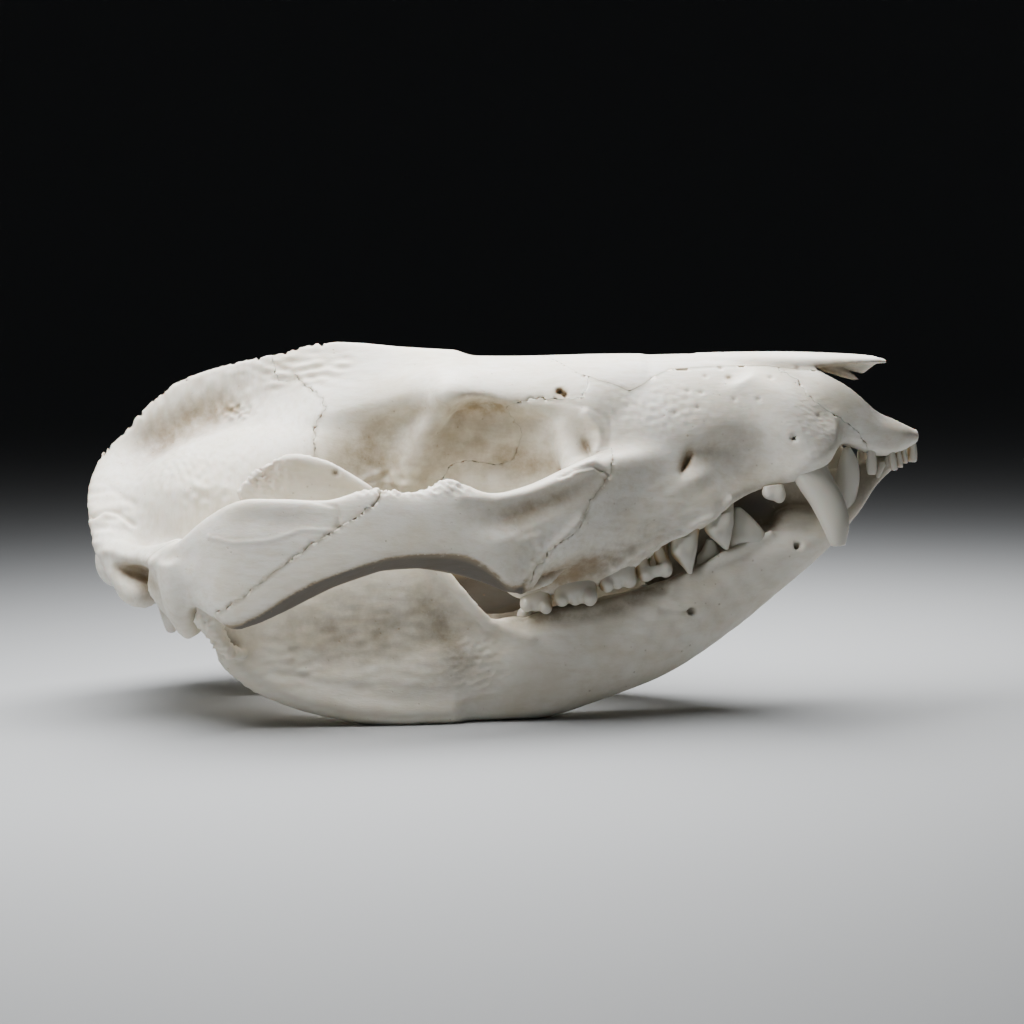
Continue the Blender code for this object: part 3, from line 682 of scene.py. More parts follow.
class Relief:
    """Small shapes that are worked into a bone's mesh, seen as if all of it lay on the right."""

    def __init__(self, points: np.ndarray, around: Mould) -> None:
        """Takes a mesh's points and the block of the uncut bone round it."""
        self.turn = np.where(points[:, 1:2] > 0, [[1, -1, 1]], [[1, 1, 1]])
        self.folded = points * self.turn
        depth, self.normals = around.look(self.folded)
        # full up to 0.32 mm from the uncut surface and none beyond 0.72 mm, so that cut faces stay flat
        self.skin = np.clip(1.8 - np.abs(depth) / 0.4, 0, 1)

    def flat(self, face: Face) -> np.ndarray:
        """The points as seen from one face."""
        columns = [0, 2] if face in (Face.SIDE, Face.ANY) else [0, 1]
        return self.folded[:, columns]

    def facing(self, face: Face) -> np.ndarray:
        """How much each point looks one way, from 0 to 1."""
        if face is Face.ANY:
            return np.ones(len(self.folded))
        _, across, up = self.normals.T
        look = {Face.SIDE: -across, Face.TOP: up, Face.UNDER: -up}
        steepness, start = 2.2, 0.1
        return np.clip(look[face] * steepness - start, 0, 1)

    def reach(self, item: Stroke | Dent) -> np.ndarray:
        """How much each point is in an item's range of y and looks its way."""
        y, fade = self.folded[:, 1], 0.8
        inside = np.clip((y - item.near) / fade, 0, 1) * np.clip((item.far - y) / fade + 1, 0, 1)
        return inside * self.facing(item.face)

    def mask(self, item: Stroke | Dent | Rough) -> np.ndarray:
        """The share of an item's height at each point."""
        if isinstance(item, Rough):
            away = (self.folded - np.array(item.centre)) / np.array(item.size)
            return np.exp(-(away ** 2).sum(axis=1))
        flat = self.flat(item.face)
        if isinstance(item, Dent):
            away = flat - np.array(item.centre)
            c, s = cos(radians(item.lean)), sin(radians(item.lean))
            u, v = away[:, 0] * c + away[:, 1] * s, away[:, 1] * c - away[:, 0] * s
            return np.exp(-(u / item.size[0]) ** 2 - (v / item.size[1]) ** 2) * self.reach(item)
        corners = np.array(item.line, dtype=float)
        margin = item.width * 3
        close = ((flat > corners.min(axis=0) - margin) & (flat < corners.max(axis=0) + margin)).all(axis=1)
        mask = np.zeros(len(flat))
        if close.any():
            mask[close] = np.exp(-(line_distance(flat[close], item.line) / item.width) ** 2)
        return mask * self.reach(item)

    def lift(self, items: Sequence[Stroke | Dent | Rough]) -> np.ndarray:
        """How far some items move each point outward."""
        total, least = np.zeros(len(self.folded)), 0.02
        for item in items:
            mask = self.mask(item)
            if isinstance(item, Rough):
                close = mask > least
                grain = self.folded[close] / np.array(item.stretch)
                total[close] += item.height * mask[close] * ripple(grain, item.length, item.seed)
            else:
                total += item.height * mask
        return total

    def work(self, items: Sequence[Stroke | Dent | Rough]) -> np.ndarray:
        """Works some items into the mesh.

        Args:
            items: the strokes, dents and rough patches.

        Returns:
            The mesh's points, back on their own sides.
        """
        self.folded = self.folded + self.normals * (self.lift(items) * self.skin)[:, None]
        return self.folded * self.turn

    def hollow_shade(self, around: Mould) -> np.ndarray:
        """Finds how deep each point lies in a hollow, from 0 in the open to 1 in a narrow one, which the
        materials paint as shade.
        """
        total, steps = np.zeros(len(self.folded)), (0.8, 1.6, 2.4, 3.2)
        for step in steps:
            seen = around.look(self.folded + self.normals * step)[0]
            total += (step - np.minimum(seen, step)) / step
        return np.clip(total / len(steps), 0, 1)


def creased(points: np.ndarray, around: Mould, bounds: Mould) -> tuple[np.ndarray, np.ndarray]:
    """Moves the points at a bone's cut edges right onto them, which keeps its sutures crisp.

    Args:
        points: the mesh's points on the right side.
        around: the block of the uncut bone.
        bounds: the block of the cuts.

    Returns:
        The points, and which of them lie on an edge.
    """
    reach = around.cell * 0.62       # points this near both surfaces are taken to the line where they meet
    furthest = around.cell * 1.2     # and those that would move further stay
    edge = (np.abs(around.look(points)[0]) < reach) & (np.abs(bounds.look(points)[0]) < reach)
    moved = points[edge].copy()
    for _ in range(4):
        for block in (bounds, around):
            depth, way = block.look(moved)
            moved -= way * depth[:, None]
    near = np.linalg.norm(moved - points[edge], axis=1) < furthest
    kept = np.flatnonzero(edge)[near]
    points = points.copy()
    points[kept] = moved[near]
    on_edge = np.zeros(len(points), bool)
    on_edge[kept] = True
    return points, on_edge


def linear(hex_colour: str) -> tuple[float, float, float, float]:
    """Turns an sRGB hex colour to linear.

    Args:
        hex_colour: six hex digits after a hash.

    Returns:
        Red, green, blue and alpha.
    """
    parts = [int(hex_colour[i:i + 2], 16) / 255 for i in (1, 3, 5)]
    low, high = 0.04045, 2.4
    turned = [p / 12.92 if p <= low else ((p + 0.055) / 1.055) ** high for p in parts]
    return (*turned, 1.0)


def add_node(tree: bpy.types.NodeTree, kind: str, settings: dict[str, Any] | None = None,
             links: dict[str | int, Any] | None = None) -> bpy.types.Node:
    """Adds a node with its settings and links.

    Args:
        tree: the material's nodes.
        kind: the node's type.
        settings: values for the node's own settings.
        links: for each input, by name or number, the output that feeds it or the value that it takes.

    Returns:
        The node.
    """
    node = tree.nodes.new(kind)
    for name, value in (settings or {}).items():
        setattr(node, name, value)
    for name, value in (links or {}).items():
        if isinstance(value, bpy.types.NodeSocket):
            tree.links.new(value, node.inputs[name])
        else:
            node.inputs[name].default_value = value
    return node


def blank_material(name: str) -> bpy.types.Material:
    """A new material without nodes."""
    made = bpy.data.materials.new(name)
    made.use_nodes = True
    made.node_tree.nodes.clear()
    return made


@dataclass(frozen=True)
class Ramp:
    """Turns a pattern's values into a share: the values where it starts and ends, and the shares there."""

    low: float
    high: float
    start: float = 0.0
    end: float = 1.0


@dataclass(frozen=True)
class BoneFinish:
    """Compact bone that was simmered clean and whitened with peroxide: chalky ivory, matt with a faint waxy
    sheen.
    Its colour turns browner in hollows as painted shade, and darker where the stain strokes lay painted
    shade and shadow besides real stains and sutures."""

    name: str
    pale: str = "#F1EDE2"
    shade: str = "#E3DAC4"
    # painted shade: the colour that hollows turn to, by how deep they lie
    hollow_shade: str = "#7C6245"
    # stains and sutures, and the same brown used as painted shade in hollows and gaps
    stain_and_shade: str = "#94805E"
    # painted deep shadow, near black: under the cheek arches, in gaps, in holes and on faces turned inward
    deep_shade: str = "#33291E"
    pore: str = "#8A6D45"
    vein: str = "#CFC3A8"
    streak: Point = (0.25, 1.0, 1.0)         # drawn out along x, as the bone grew
    mottle_mm: float = 9.0                   # broad uneven whitening
    cloud_mm: float = 2.6
    pore_mm: float = 1.3                     # from pore to pore, where there are any
    fibre_mm: float = 0.9
    grain_mm: float = 0.45                   # the real grain is finer, and this is the finest that shows
    shade_ramp: Ramp = Ramp(0.42, 0.68, end=0.75)
    hollow_shade_ramp: Ramp = Ramp(0.06, 0.5, end=0.85)
    stain_and_shade_ramp: Ramp = Ramp(0.05, 0.6, end=0.9)
    deep_shade_ramp: Ramp = Ramp(1.0, 1.7)         # stain strengths above 1 turn to the painted deep shadow
    vein_ramp: Ramp = Ramp(0.45, 0.75, end=0.5)
    pore_ramp: Ramp = Ramp(0.06, 0.16, start=1.0, end=0.0)
    porous_ramp: Ramp = Ramp(0.52, 0.6)
    pore_share: float = 0.4
    pore_depth: float = -1.2
    bump_strength: float = 0.35
    bump_mm: float = 0.12
    glow: float = 0.12                       # share of the light that spreads inside the bone
    glow_mm: float = 1.0
    roughness: float = 0.56
    ior: float = 1.5

    def material(self) -> bpy.types.Material:
        """The bone's material."""
        made = blank_material(self.name)
        tree = made.node_tree
        place = add_node(tree, "ShaderNodeTexCoord").outputs["Object"]
        drawn = add_node(tree, "ShaderNodeMapping", links={"Vector": place, "Scale": self.streak}).outputs[0]
        noise = {
            name: add_node(tree, "ShaderNodeTexNoise", links={
                "Vector": vector, "Scale": 1 / (size * MM), "Detail": detail,
                "Roughness": rough}).outputs["Fac"]
            for name, vector, size, detail, rough in (
                ("mottle", place, self.mottle_mm, 4.0, 0.6), ("cloud", place, self.cloud_mm, 5.0, 0.65),
                ("fibre", drawn, self.fibre_mm, 5.0, 0.65), ("grain", drawn, self.grain_mm, 3.0, 0.7))}
        pores = add_node(tree, "ShaderNodeTexVoronoi", {"feature": "F1"}, {
            "Vector": place, "Scale": 1 / (self.pore_mm * MM), "Randomness": 1.0})
        mask = {name: add_node(tree, "ShaderNodeAttribute", {"attribute_name": name}).outputs["Fac"]
                for name in ("hollow_shade", "stain_and_shade")}
        blotched = {name: add_node(tree, "ShaderNodeMath", {"operation": "MULTIPLY"}, {
            0: mask[name], 1: noise["cloud"]}).outputs[0] for name in mask}
        share = {
            name: add_node(tree, "ShaderNodeMapRange", links={
                "Value": value, "From Min": ramp.low, "From Max": ramp.high,
                "To Min": ramp.start, "To Max": ramp.end}).outputs[0]
            for name, value, ramp in (
                ("shade", noise["mottle"], self.shade_ramp),
                ("hollow_shade", blotched["hollow_shade"], self.hollow_shade_ramp),
                ("stain_and_shade", blotched["stain_and_shade"], self.stain_and_shade_ramp), ("deep_shade", mask["stain_and_shade"], self.deep_shade_ramp),
                ("vein", noise["fibre"], self.vein_ramp), ("porous", noise["cloud"], self.porous_ramp),
                ("pore", pores.outputs["Distance"], self.pore_ramp))}
        pitted = add_node(tree, "ShaderNodeMath", {"operation": "MULTIPLY"}, {
            0: share["pore"], 1: share["porous"]}).outputs[0]
        dark_pore = add_node(tree, "ShaderNodeMath", {"operation": "MULTIPLY"}, {
            0: pitted, 1: self.pore_share}).outputs[0]
        # the stain colour, turning to the painted deep shadow where the mask passes 1
        brown = add_node(tree, "ShaderNodeMix", {"data_type": "RGBA"}, {
            0: share["deep_shade"], 6: linear(self.stain_and_shade), 7: linear(self.deep_shade)}).outputs[2]
        # layers over the pale bone: random mottle, painted shade in hollows, fibres, stains with painted
        # shade and shadow, and pores
        colour = linear(self.pale)
        for part, layer in ((share["shade"], linear(self.shade)), (share["hollow_shade"], linear(self.hollow_shade)),
                            (share["vein"], linear(self.vein)), (share["stain_and_shade"], brown),
                            (dark_pore, linear(self.pore))):
            colour = add_node(tree, "ShaderNodeMix", {"data_type": "RGBA"}, {
                0: part, 6: colour, 7: layer}).outputs[2]
        height = add_node(tree, "ShaderNodeMath", {"operation": "MULTIPLY_ADD"}, {
            0: pitted, 1: self.pore_depth, 2: noise["grain"]})
        bump = add_node(tree, "ShaderNodeBump", links={
            "Height": height.outputs[0], "Strength": self.bump_strength, "Distance": self.bump_mm * MM})
        shader = add_node(tree, "ShaderNodeBsdfPrincipled", links={
            "Base Color": colour, "Roughness": self.roughness, "IOR": self.ior, "Normal": bump.outputs[0],
            "Subsurface Weight": self.glow, "Subsurface Scale": self.glow_mm * MM})
        add_node(tree, "ShaderNodeOutputMaterial", links={"Surface": shader.outputs[0]})
        return made


@dataclass(frozen=True)
class EnamelFinish:
    """Tooth enamel, polished by use: smoother than bone and faintly clear at the tips. Real enamel is whiter
    than bone, but its pale colour is greyed down as painted shade, since the teeth sit in shadow; it turns
    yellower on bare roots and browner in hollows at the neck as painted shade."""

    name: str
    # greyed down from the real enamel's white as painted shade
    pale: str = "#CFCBBE"
    # yellower on bare roots, and browner as painted shade in hollows by the neck
    neck: str = "#A98F62"
    roughness: float = 0.3
    ior: float = 1.62
    streak_mm: float = 1.6
    root_share: float = 0.22                 # how much yellower bare roots are
    # how the neck colour comes in, from bare roots and from painted shade
    neck_ramp: Ramp = Ramp(0.06, 0.5, end=0.9)
    bump_strength: float = 0.2
    bump_mm: float = 0.08
    glow: float = 0.15
    glow_mm: float = 1.0

    def material(self) -> bpy.types.Material:
        """The enamel's material."""
        made = blank_material(self.name)
        tree = made.node_tree
        place = add_node(tree, "ShaderNodeTexCoord").outputs["Object"]
        streak = add_node(tree, "ShaderNodeTexNoise", links={
            "Vector": place, "Scale": 1 / (self.streak_mm * MM), "Detail": 4.0}).outputs["Fac"]
        hollow_shade, root = [add_node(tree, "ShaderNodeAttribute", {"attribute_name": name}).outputs["Fac"]
                        for name in ("hollow_shade", "stain_and_shade")]
        # painted shade in hollows, broken up by the streaks
        depth = add_node(tree, "ShaderNodeMath", {"operation": "MULTIPLY"}, {0: hollow_shade, 1: streak})
        either = add_node(tree, "ShaderNodeMath", {"operation": "MULTIPLY_ADD"}, {
            0: root, 1: self.root_share, 2: depth.outputs[0]})
        share = add_node(tree, "ShaderNodeMapRange", links={
            "Value": either.outputs[0], "From Min": self.neck_ramp.low, "From Max": self.neck_ramp.high,
            "To Min": self.neck_ramp.start, "To Max": self.neck_ramp.end})
        colour = add_node(tree, "ShaderNodeMix", {"data_type": "RGBA"}, {
            0: share.outputs[0], 6: linear(self.pale), 7: linear(self.neck)})
        bump = add_node(tree, "ShaderNodeBump", links={
            "Height": streak, "Strength": self.bump_strength, "Distance": self.bump_mm * MM})
        shader = add_node(tree, "ShaderNodeBsdfPrincipled", links={
            "Base Color": colour.outputs[2], "Roughness": self.roughness, "IOR": self.ior,
            "Normal": bump.outputs[0], "Subsurface Weight": self.glow,
            "Subsurface Scale": self.glow_mm * MM})
        add_node(tree, "ShaderNodeOutputMaterial", links={"Surface": shader.outputs[0]})
        return made


@dataclass(frozen=True)
class CardFinish:
    """Matt grey card, the plain ground of a studio."""

    name: str
    grey: str = "#A9ABAD"
    roughness: float = 0.7

    def material(self) -> bpy.types.Material:
        """The card's material."""
        made = blank_material(self.name)
        shader = add_node(made.node_tree, "ShaderNodeBsdfPrincipled", links={
            "Base Color": linear(self.grey), "Roughness": self.roughness})
        add_node(made.node_tree, "ShaderNodeOutputMaterial", links={"Surface": shader.outputs[0]})
        return made


FACE_BONE = BoneFinish("whitened_face_bone")
CASE_BONE = BoneFinish("whitened_braincase_bone", streak=(1.0, 1.0, 0.25))
JAW_BONE = BoneFinish("whitened_jaw_bone", pale="#EAE5D8", shade="#D6CCB6", stain_and_shade="#8A7E6A",
                      hollow_shade="#857B6A", fibre_mm=1.4)
ENAMEL = EnamelFinish("polished_tooth_enamel")
FLOOR_CARD = CardFinish("matt_card")


@dataclass
class Piece:
    name: str
    points: np.ndarray
    quads: np.ndarray
    masks: dict[str, np.ndarray]
    edge: np.ndarray
    material: bpy.types.Material
    slot: str
    stands_for: Sequence[str]

    def place(self, mirror: bool = False) -> bpy.types.Object:
        """Makes the object, or its mirror image on the left, and rides it on the skull.

        Args:
            mirror: whether it is the left one.

        Returns:
            The object.
        """
        points, quads = self.points * MM, self.quads
        swap = ("right", "left") if mirror else ("", "")
        if mirror:
            points, quads = points * np.array([1.0, -1.0, 1.0]), quads[:, ::-1]
        name = self.name.replace(*swap) if mirror else self.name
        data = bpy.data.meshes.new(name)
        data.vertices.add(len(points))
        data.vertices.foreach_set("co", points.ravel())
        data.loops.add(quads.size)
        data.loops.foreach_set("vertex_index", quads.ravel())
        data.polygons.add(len(quads))
        data.polygons.foreach_set("loop_start", np.arange(0, quads.size, 4))
        data.update(calc_edges=True)
        data.validate()
        data.polygons.foreach_set("use_smooth", np.ones(len(quads), bool))
        ends = np.empty(2 * len(data.edges), int)
        data.edges.foreach_get("vertices", ends)
        sharp = data.attributes.new("sharp_edge", "BOOLEAN", "EDGE")
        sharp.data.foreach_set("value", self.edge[ends].reshape(-1, 2).all(axis=1))
        for key, values in self.masks.items():
            layer = data.attributes.new(key, "FLOAT", "POINT")
            layer.data.foreach_set("value", values.astype(np.float32))
        data.materials.append(self.material)
        made = bpy.data.objects.new(name, data)
        bpy.context.scene.collection.objects.link(made)
        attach(made, BODY)
        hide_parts(*[node.replace(*swap) if mirror else node for node in self.stands_for])
        log.info("%s: %d faces", name, len(quads))
        return made


@dataclass
class Bone:
    """What one bone is cut out of the shaped skull with, and how it is finished."""

    name: str
    limits: Sequence[np.ndarray]
    material: bpy.types.Material
    slot: str
    paired: bool = True

    def build(self, whole: Mould, relief: Sequence[Stroke | Dent | Rough],
              stains_and_shade: Sequence[Stroke | Dent]) -> None:
        """Cuts the bone out, meshes it, works it over and places it.

        Args:
            whole: the block of the uncut right half.
            relief: what is worked into its surface.
            stains_and_shade: where it is browner, from real sutures and from painted shade and shadow in
                hollows, holes, gaps and undersides, with the strength as their height.
        """
        bounds = whole.bounded(np.maximum.reduce(np.broadcast_arrays(*self.limits)))
        cut = whole.within(bounds.values)
        if not self.paired:
            cut = cut.both_sides()
        points, quads = cut.surface()
        points = relaxed(points, quads, rounds=2)
        turn = np.where(points[:, 1:2] > 0, [[1, -1, 1]], [[1, 1, 1]])
        folded, edge = creased(points * turn, whole, bounds)
        form = Relief(folded * turn, whole)
        worked = form.work(relief)
        # the first mask is painted shade in hollows; the second holds sutures together with painted shade
        # and shadow
        strongest = 2.0
        stain_and_shade = np.clip(form.lift(stains_and_shade), 0, strongest)
        masks = {"hollow_shade": form.hollow_shade(whole), "stain_and_shade": stain_and_shade}
        piece = Piece(self.name, worked, quads, masks, edge, self.material, self.slot, [self.name])
        piece.place()
        if self.paired:
            piece.place(mirror=True)


# small openings for vessels on the side of the snout
PORES = ((28.2, 49.6), (30.2, 49.4), (26.2, 46.4), (34.6, 51.6), (33.4, 53.0), (35.2, 48.4), (38.8, 48.4),
         (29.6, 47.2), (41.0, 51.6), (31.0, 51.8), (45.4, 53.0), (48.0, 45.8))


@dataclass
class Cranium:
    """The skull without its jaw: braincase, frontals, cheek bones, snout, nasals and cheek arches."""

    core: Sequence[Section] = sections(
        (64.6, 43.3, 41.3, 2.6, 42.4, 2, 2.4), (61.5, 45.2, 39.7, 5, 42, 2.3, 3),
        (58, 47.3, 39.2, 6.4, 42, 2.5, 3.4), (54, 51.5, 40.6, 7.6, 43.6, 2.5, 3.4),
        (50, 53.6, 41, 8.8, 44.2, 2.3, 3.2), (45.5, 54.9, 38.6, 10, 43.4, 1.8, 3.2),
        (40, 55.1, 36, 10.6, 43.4, 1.8, 3.2), (33, 55.1, 32.6, 11.2, 43.6, 1.8, 3),
        (26, 55, 28.8, 12.2, 42, 1.8, 3), (19, 54.8, 26, 13.3, 39, 1.9, 3.2),
        (13.5, 54.5, 23.8, 13, 38.5, 2.2, 3), (9, 54.2, 22.8, 10.8, 40, 2.4, 2.6), (3, 54, 22.6, 8.6, 40),
        (-5, 53.8, 24.4, 7.2, 40), (-12, 53.4, 24.4, 6.2, 40, 2.2, 2.2), (-18, 52, 24.2, 5.9, 39, 2.2, 2.2),
        (-23, 50, 23.4, 8.2, 36.5, 2.2, 2.2), (-29, 47.4, 21.6, 12, 33.5, 2.1, 2.2),
        (-35, 45.8, 20, 14.4, 32, 2.1, 2.2), (-42, 44.2, 19, 15.8, 31, 2.1, 2.3),
        (-49, 41.8, 18.8, 15.6, 30, 2.2, 2.4), (-54.5, 38.8, 19.2, 13.6, 29, 2.2, 2.5),
        (-58.2, 35, 20.4, 10.4, 27.5, 2.3, 2.4))
    brow: Sequence[Section] = sections(
        (21, 54.2, 44, 8, 49, 2, 2), (14, 54.5, 41, 12.2, 46.2, 2, 2), (8, 54.5, 42.4, 11.4, 47.2, 1.9, 2),
        (2, 54.4, 44.6, 10.9, 48.2, 1.7, 2), (-4, 54.5, 46.2, 11.6, 48.6, 1.7, 2),
        (-8.6, 54.6, 46.8, 12.8, 49.4, 1.6, 2), (-11.5, 54.7, 45.4, 9.9, 49.6, 1.6, 2),
        (-16, 54.8, 43, 8, 48.6, 1.5, 2), (-22, 54.6, 41, 7.2, 47, 1.4, 2),
        (-28, 53.6, 41, 7.4, 45.6, 1.3, 2), (-33, 51, 41, 6, 44, 1.4, 2),
        (-38, 48.8, 41, 4.4, 43.6, 1.5, 2), (-43, 46, 41, 2.4, 43, 1.6, 2))
    crest: Sequence[Rib] = ribs(
        (-8, 0, 54.4, -8, 0, 50, 1.8), (-16, 0, 55.3, -16, 0, 47, 1.4), (-22, 0, 56.3, -22, 0, 45, 1.2),
        (-28, 0, 56.7, -28, 0, 43, 1.1), (-35, 0, 55.1, -35, 0, 42, 1.1), (-43.5, 0, 53.2, -43, 0, 41, 1.3),
        (-50.5, 0, 50.8, -48, 0, 39, 1.4), (-56, 0, 46.6, -51, 0, 37, 1.4), (-60.6, 0, 41, -53, 0, 34, 2),
        (-63.4, 0, 37.6, -53.5, 0, 31, 2.3), (-64.6, 0, 34.6, -54, 0, 29, 2))
    hamulus: Strand = Strand(((-11, -9, 23, 1.4), (-8, -9.2, 20.7, 1.1), (-6.2, -9.3, 20.4, 0.8),
                              (-3.6, -9.4, 20.7, 0.35)))
    neck_crest: Sequence[Rib] = ribs(
        (-61.6, 1.5, 39.4, -50, 0, 37, 2.2), (-63.3, -3.5, 37, -52, -5, 35, 1.8),
        (-63.7, -8, 33.8, -53, -9, 32, 1.4), (-62.8, -12.5, 30.2, -52, -11.5, 29, 1.3),
        (-61.3, -16, 26.4, -50.5, -13, 26.4, 1.5), (-59.2, -18.4, 22.4, -49.5, -13.5, 24, 2),
        (-56.6, -18.8, 18.9, -49.5, -13, 22, 2.2), (-54.4, -17.2, 17.4, -50, -12, 21, 1.8))
    paroccipital: Sequence[Rib] = ribs(
        (-53.4, -13.5, 23, -48.8, -14, 23, 1.6), (-52.4, -14.2, 18, -48.8, -14.4, 18, 1.3),
        (-51.4, -14.6, 14.6, -49.2, -14.8, 14.6, 1), (-50.8, -14.6, 13.2, -49.6, -14.8, 13.2, 0.6))
    pterygoid: Sequence[Rib] = ribs(
        (8, -6.4, 26, 8, -6.4, 20.4, 1.4), (3, -6, 26, 3, -6, 15.8, 1.1),
        (-3, -5.6, 26, -3, -5.6, 14.8, 0.9), (-9, -5.2, 26, -9, -5.2, 15.6, 0.8),
        (-16, -4.8, 26, -16.5, -4.8, 18.4, 0.8), (-21, -4.6, 25, -22.5, -4.6, 18.8, 0.6),
        (-27, -5.6, 25, -27, -5.4, 21.6, 0.8))
    gum: Sequence[Rib] = ribs(
        (0.4, -14, 22.4, 0.4, -14, 19.8, 2.2), (3, -14.6, 25.4, 3, -15, 18.4, 3),
        (8, -14.8, 28, 8, -15.2, 19.2, 3.5), (14, -14.4, 31, 14, -14.8, 20.3, 3.5),
        (20, -12.8, 34, 20, -13.6, 22.9, 3.1), (24.4, -11.6, 36, 24.4, -12.6, 26.4, 2.7),
        (28.6, -10.6, 38, 28.6, -11.6, 28, 2.4), (31.4, -10.2, 39, 31.4, -11.2, 29.3, 2.3),
        (34, -9.8, 40, 34, -10.6, 31.9, 2.2), (41, -8.8, 42, 41.2, -9, 34.8, 2.3),
        (46.5, -8.7, 43, 46.8, -9, 36.6, 2.8), (50.2, -8, 44, 49.6, -8.4, 38.6, 2))
    swelling: Sequence[Rib] = ribs(
        (50.6, -8.2, 41.4, 44.2, -8.8, 37.6, 3), (47.6, -7.9, 45, 41.4, -8.5, 41, 3.2),
        (43.6, -7.2, 49, 38, -7.6, 45.6, 3.2), (38.6, -6.4, 51.4, 35, -6.8, 49, 2.4))
    nasal: Sequence[Section] = sections(
        (59.7, 54.1, 53.6, 1.5, 53.8, 2, 2), (57, 54.8, 53.5, 3.3, 53.8, 2.2, 2),
        (51, 55.2, 53, 4.5, 53.6, 2.2, 2), (43, 55.4, 52.6, 4.7, 53.4, 2.2, 2),
        (36, 55.3, 52.6, 4.2, 53.4, 2.2, 2), (30, 55.1, 53.4, 2.6, 54, 2.2, 2))
    nasal_half: Line = ((4, -3), (6.5, 1.6), (9, 5.8), (11.5, 8.6), (14.5, 9.8), (19.2, 9.8), (21.4, 8.7),
                        (23.4, 7.1), (25.6, 6), (33, 5.3), (40, 5), (50, 5.2), (62, 5.4))
    nasal_depth: float = 1.3                 # how thick the nasal bones are
    nasal_under: float = 47.0                # nothing below this height is nasal bone
    arch_reach: float = 9.0                  # nothing nearer the middle than this is cheek arch
    arch_soft: float = 3.0                   # fillet between the arch and the skull
    nasal_plate: Sequence[Rib] = ribs(
        (49.6, -2.8, 54.2, 49.6, -2.8, 53, 0.5), (53, -2.6, 54.2, 52.6, -2.6, 52.9, 0.5),
        (55.6, -2.5, 54.2, 54.6, -2.4, 52.2, 0.45), (57, -2.3, 54.2, 56, -2.2, 52.1, 0.4),
        (58, -2, 54.2, 57.8, -2, 53.6, 0.4))
    septum: Sequence[Rib] = ribs(
        (47, -0.9, 52, 47, -0.9, 48, 0.5), (52, -0.9, 51.7, 52, -0.9, 48, 0.6),
        (54.8, -0.9, 51.5, 54.8, -0.9, 48.4, 0.6), (56.2, -0.9, 51.1, 55.8, -0.9, 49.4, 0.5))
    nasal_scrap: Strand = Strand(((50.2, -2.9, 53, 0.8), (52.4, -2.8, 52.3, 0.75), (54.2, -2.6, 51.5, 0.5),
                                  (54.9, -2.5, 51.2, 0.25)))
    nose_opening: Sequence[Section] = sections(
        (72, 60, 44.4, 4, 50, 3, 2.6), (62, 60, 43.4, 3.6, 50, 3, 2.6), (57, 60, 43.6, 4.8, 50, 3, 2.6),
        (52, 60, 44.2, 5.4, 49.5, 3, 2.6), (46, 52.2, 44.4, 4.6, 48.5), (38, 51.6, 43, 3.6, 48, 2, 2),
        (24, 50.6, 41, 3.4, 46, 2, 2))
    arch: Sequence[Rib] = ribs(
        (-52.2, -20.6, 22, -49.6, -21, 17.4, 1.5), (-50.4, -23.2, 25.8, -47.4, -24, 17.2, 1.9),
        (-46.6, -27.2, 28.6, -44.4, -28.6, 19, 1.9), (-42.2, -30.6, 32.4, -41.2, -32.2, 17.6, 1.7),
        (-37.6, -32, 34.8, -38.2, -33.5, 16.2, 1.6), (-31.5, -32.4, 35, -32, -33.5, 18.2, 1.6),
        (-25, -31.6, 34.8, -25, -33.3, 21.8, 1.6), (-19.5, -30.2, 36.2, -18, -32.1, 24.2, 1.7),
        (-13, -28.4, 35.6, -12, -30.3, 24.5, 1.9), (-7.6, -26.2, 37, -6, -28.3, 23.1, 2.1),
        (-2, -24.4, 35.2, 0.4, -25.8, 20.8, 2.3), (4, -22.2, 36.2, 4.6, -21.8, 20.6, 2.5),
        (10.5, -19.6, 38.8, 9.6, -18.2, 23, 2.7), (17, -15.4, 40.6, 15, -14.8, 26, 2.9),
        (23, -11.6, 40.6, 22, -11.8, 30, 2.4), (29.5, -8, 40, 28, -8.4, 32, 1.4))
    arch_lip: Strand = Strand((
        (-36, -31.8, 18.4, 1), (-31, -31.6, 20.6, 1.4), (-25, -31, 23.5, 1.6), (-18, -29.6, 26, 1.8),
        (-12, -27.8, 26.3, 1.9), (-6, -25.6, 25.1, 2), (-0.5, -23.4, 23.4, 2), (3, -21.4, 23, 1.6)))
    shelf: Sequence[Rib] = ribs(
        (-54, -12, 25, -36, -12, 25, 2.6), (-52, -18, 24.2, -37, -18, 24.2, 2.2),
        (-50.6, -23, 23.6, -37.4, -23, 23.6, 2), (-47.8, -28, 23.8, -38.2, -28, 23.8, 2),
        (-44, -31, 24.2, -38.6, -31, 24.2, 1.6))
    postglenoid: Sequence[Rib] = ribs(
        (-47.8, -17, 25, -47.8, -29, 25, 2.6), (-47.4, -17.6, 19.6, -47.4, -28.4, 19.6, 2.4),
        (-46.6, -19.4, 16, -46.6, -27, 16, 2), (-45.6, -21, 14, -45.6, -25.4, 14, 1.2))
    peak: Knob = Knob((-8, -26.6, 36), (1.5, 1, 1.3))
    underside: Sequence[tuple[float, float, float, float, float]] = (
        (-36, -35, 17.4, 16.2, 2), (-33.4, -35, 18.9, 17, 2.4), (-28.5, -34.9, 22.1, 19.6, 2.8),
        (-23.5, -34.4, 24.1, 22.1, 3.2), (-19, -33.4, 25.4, 23.5, 3.4), (-15.5, -32.4, 26.2, 24.1, 3.6),
        (-10.5, -30.8, 26.4, 23.9, 3.8), (-5.6, -29.2, 26, 22.6, 4), (-2.2, -28, 24, 21.2, 3.6),
        (0.1, -27.2, 21.2, 19.8, 2.6))
    knobs: Sequence[Knob] = (
        Knob((-59.6, -6, 23.4), (3.4, 3.2, 4.2)),
        Knob((-43, -10, 19.6), (5.6, 3.8, 4)),
    )
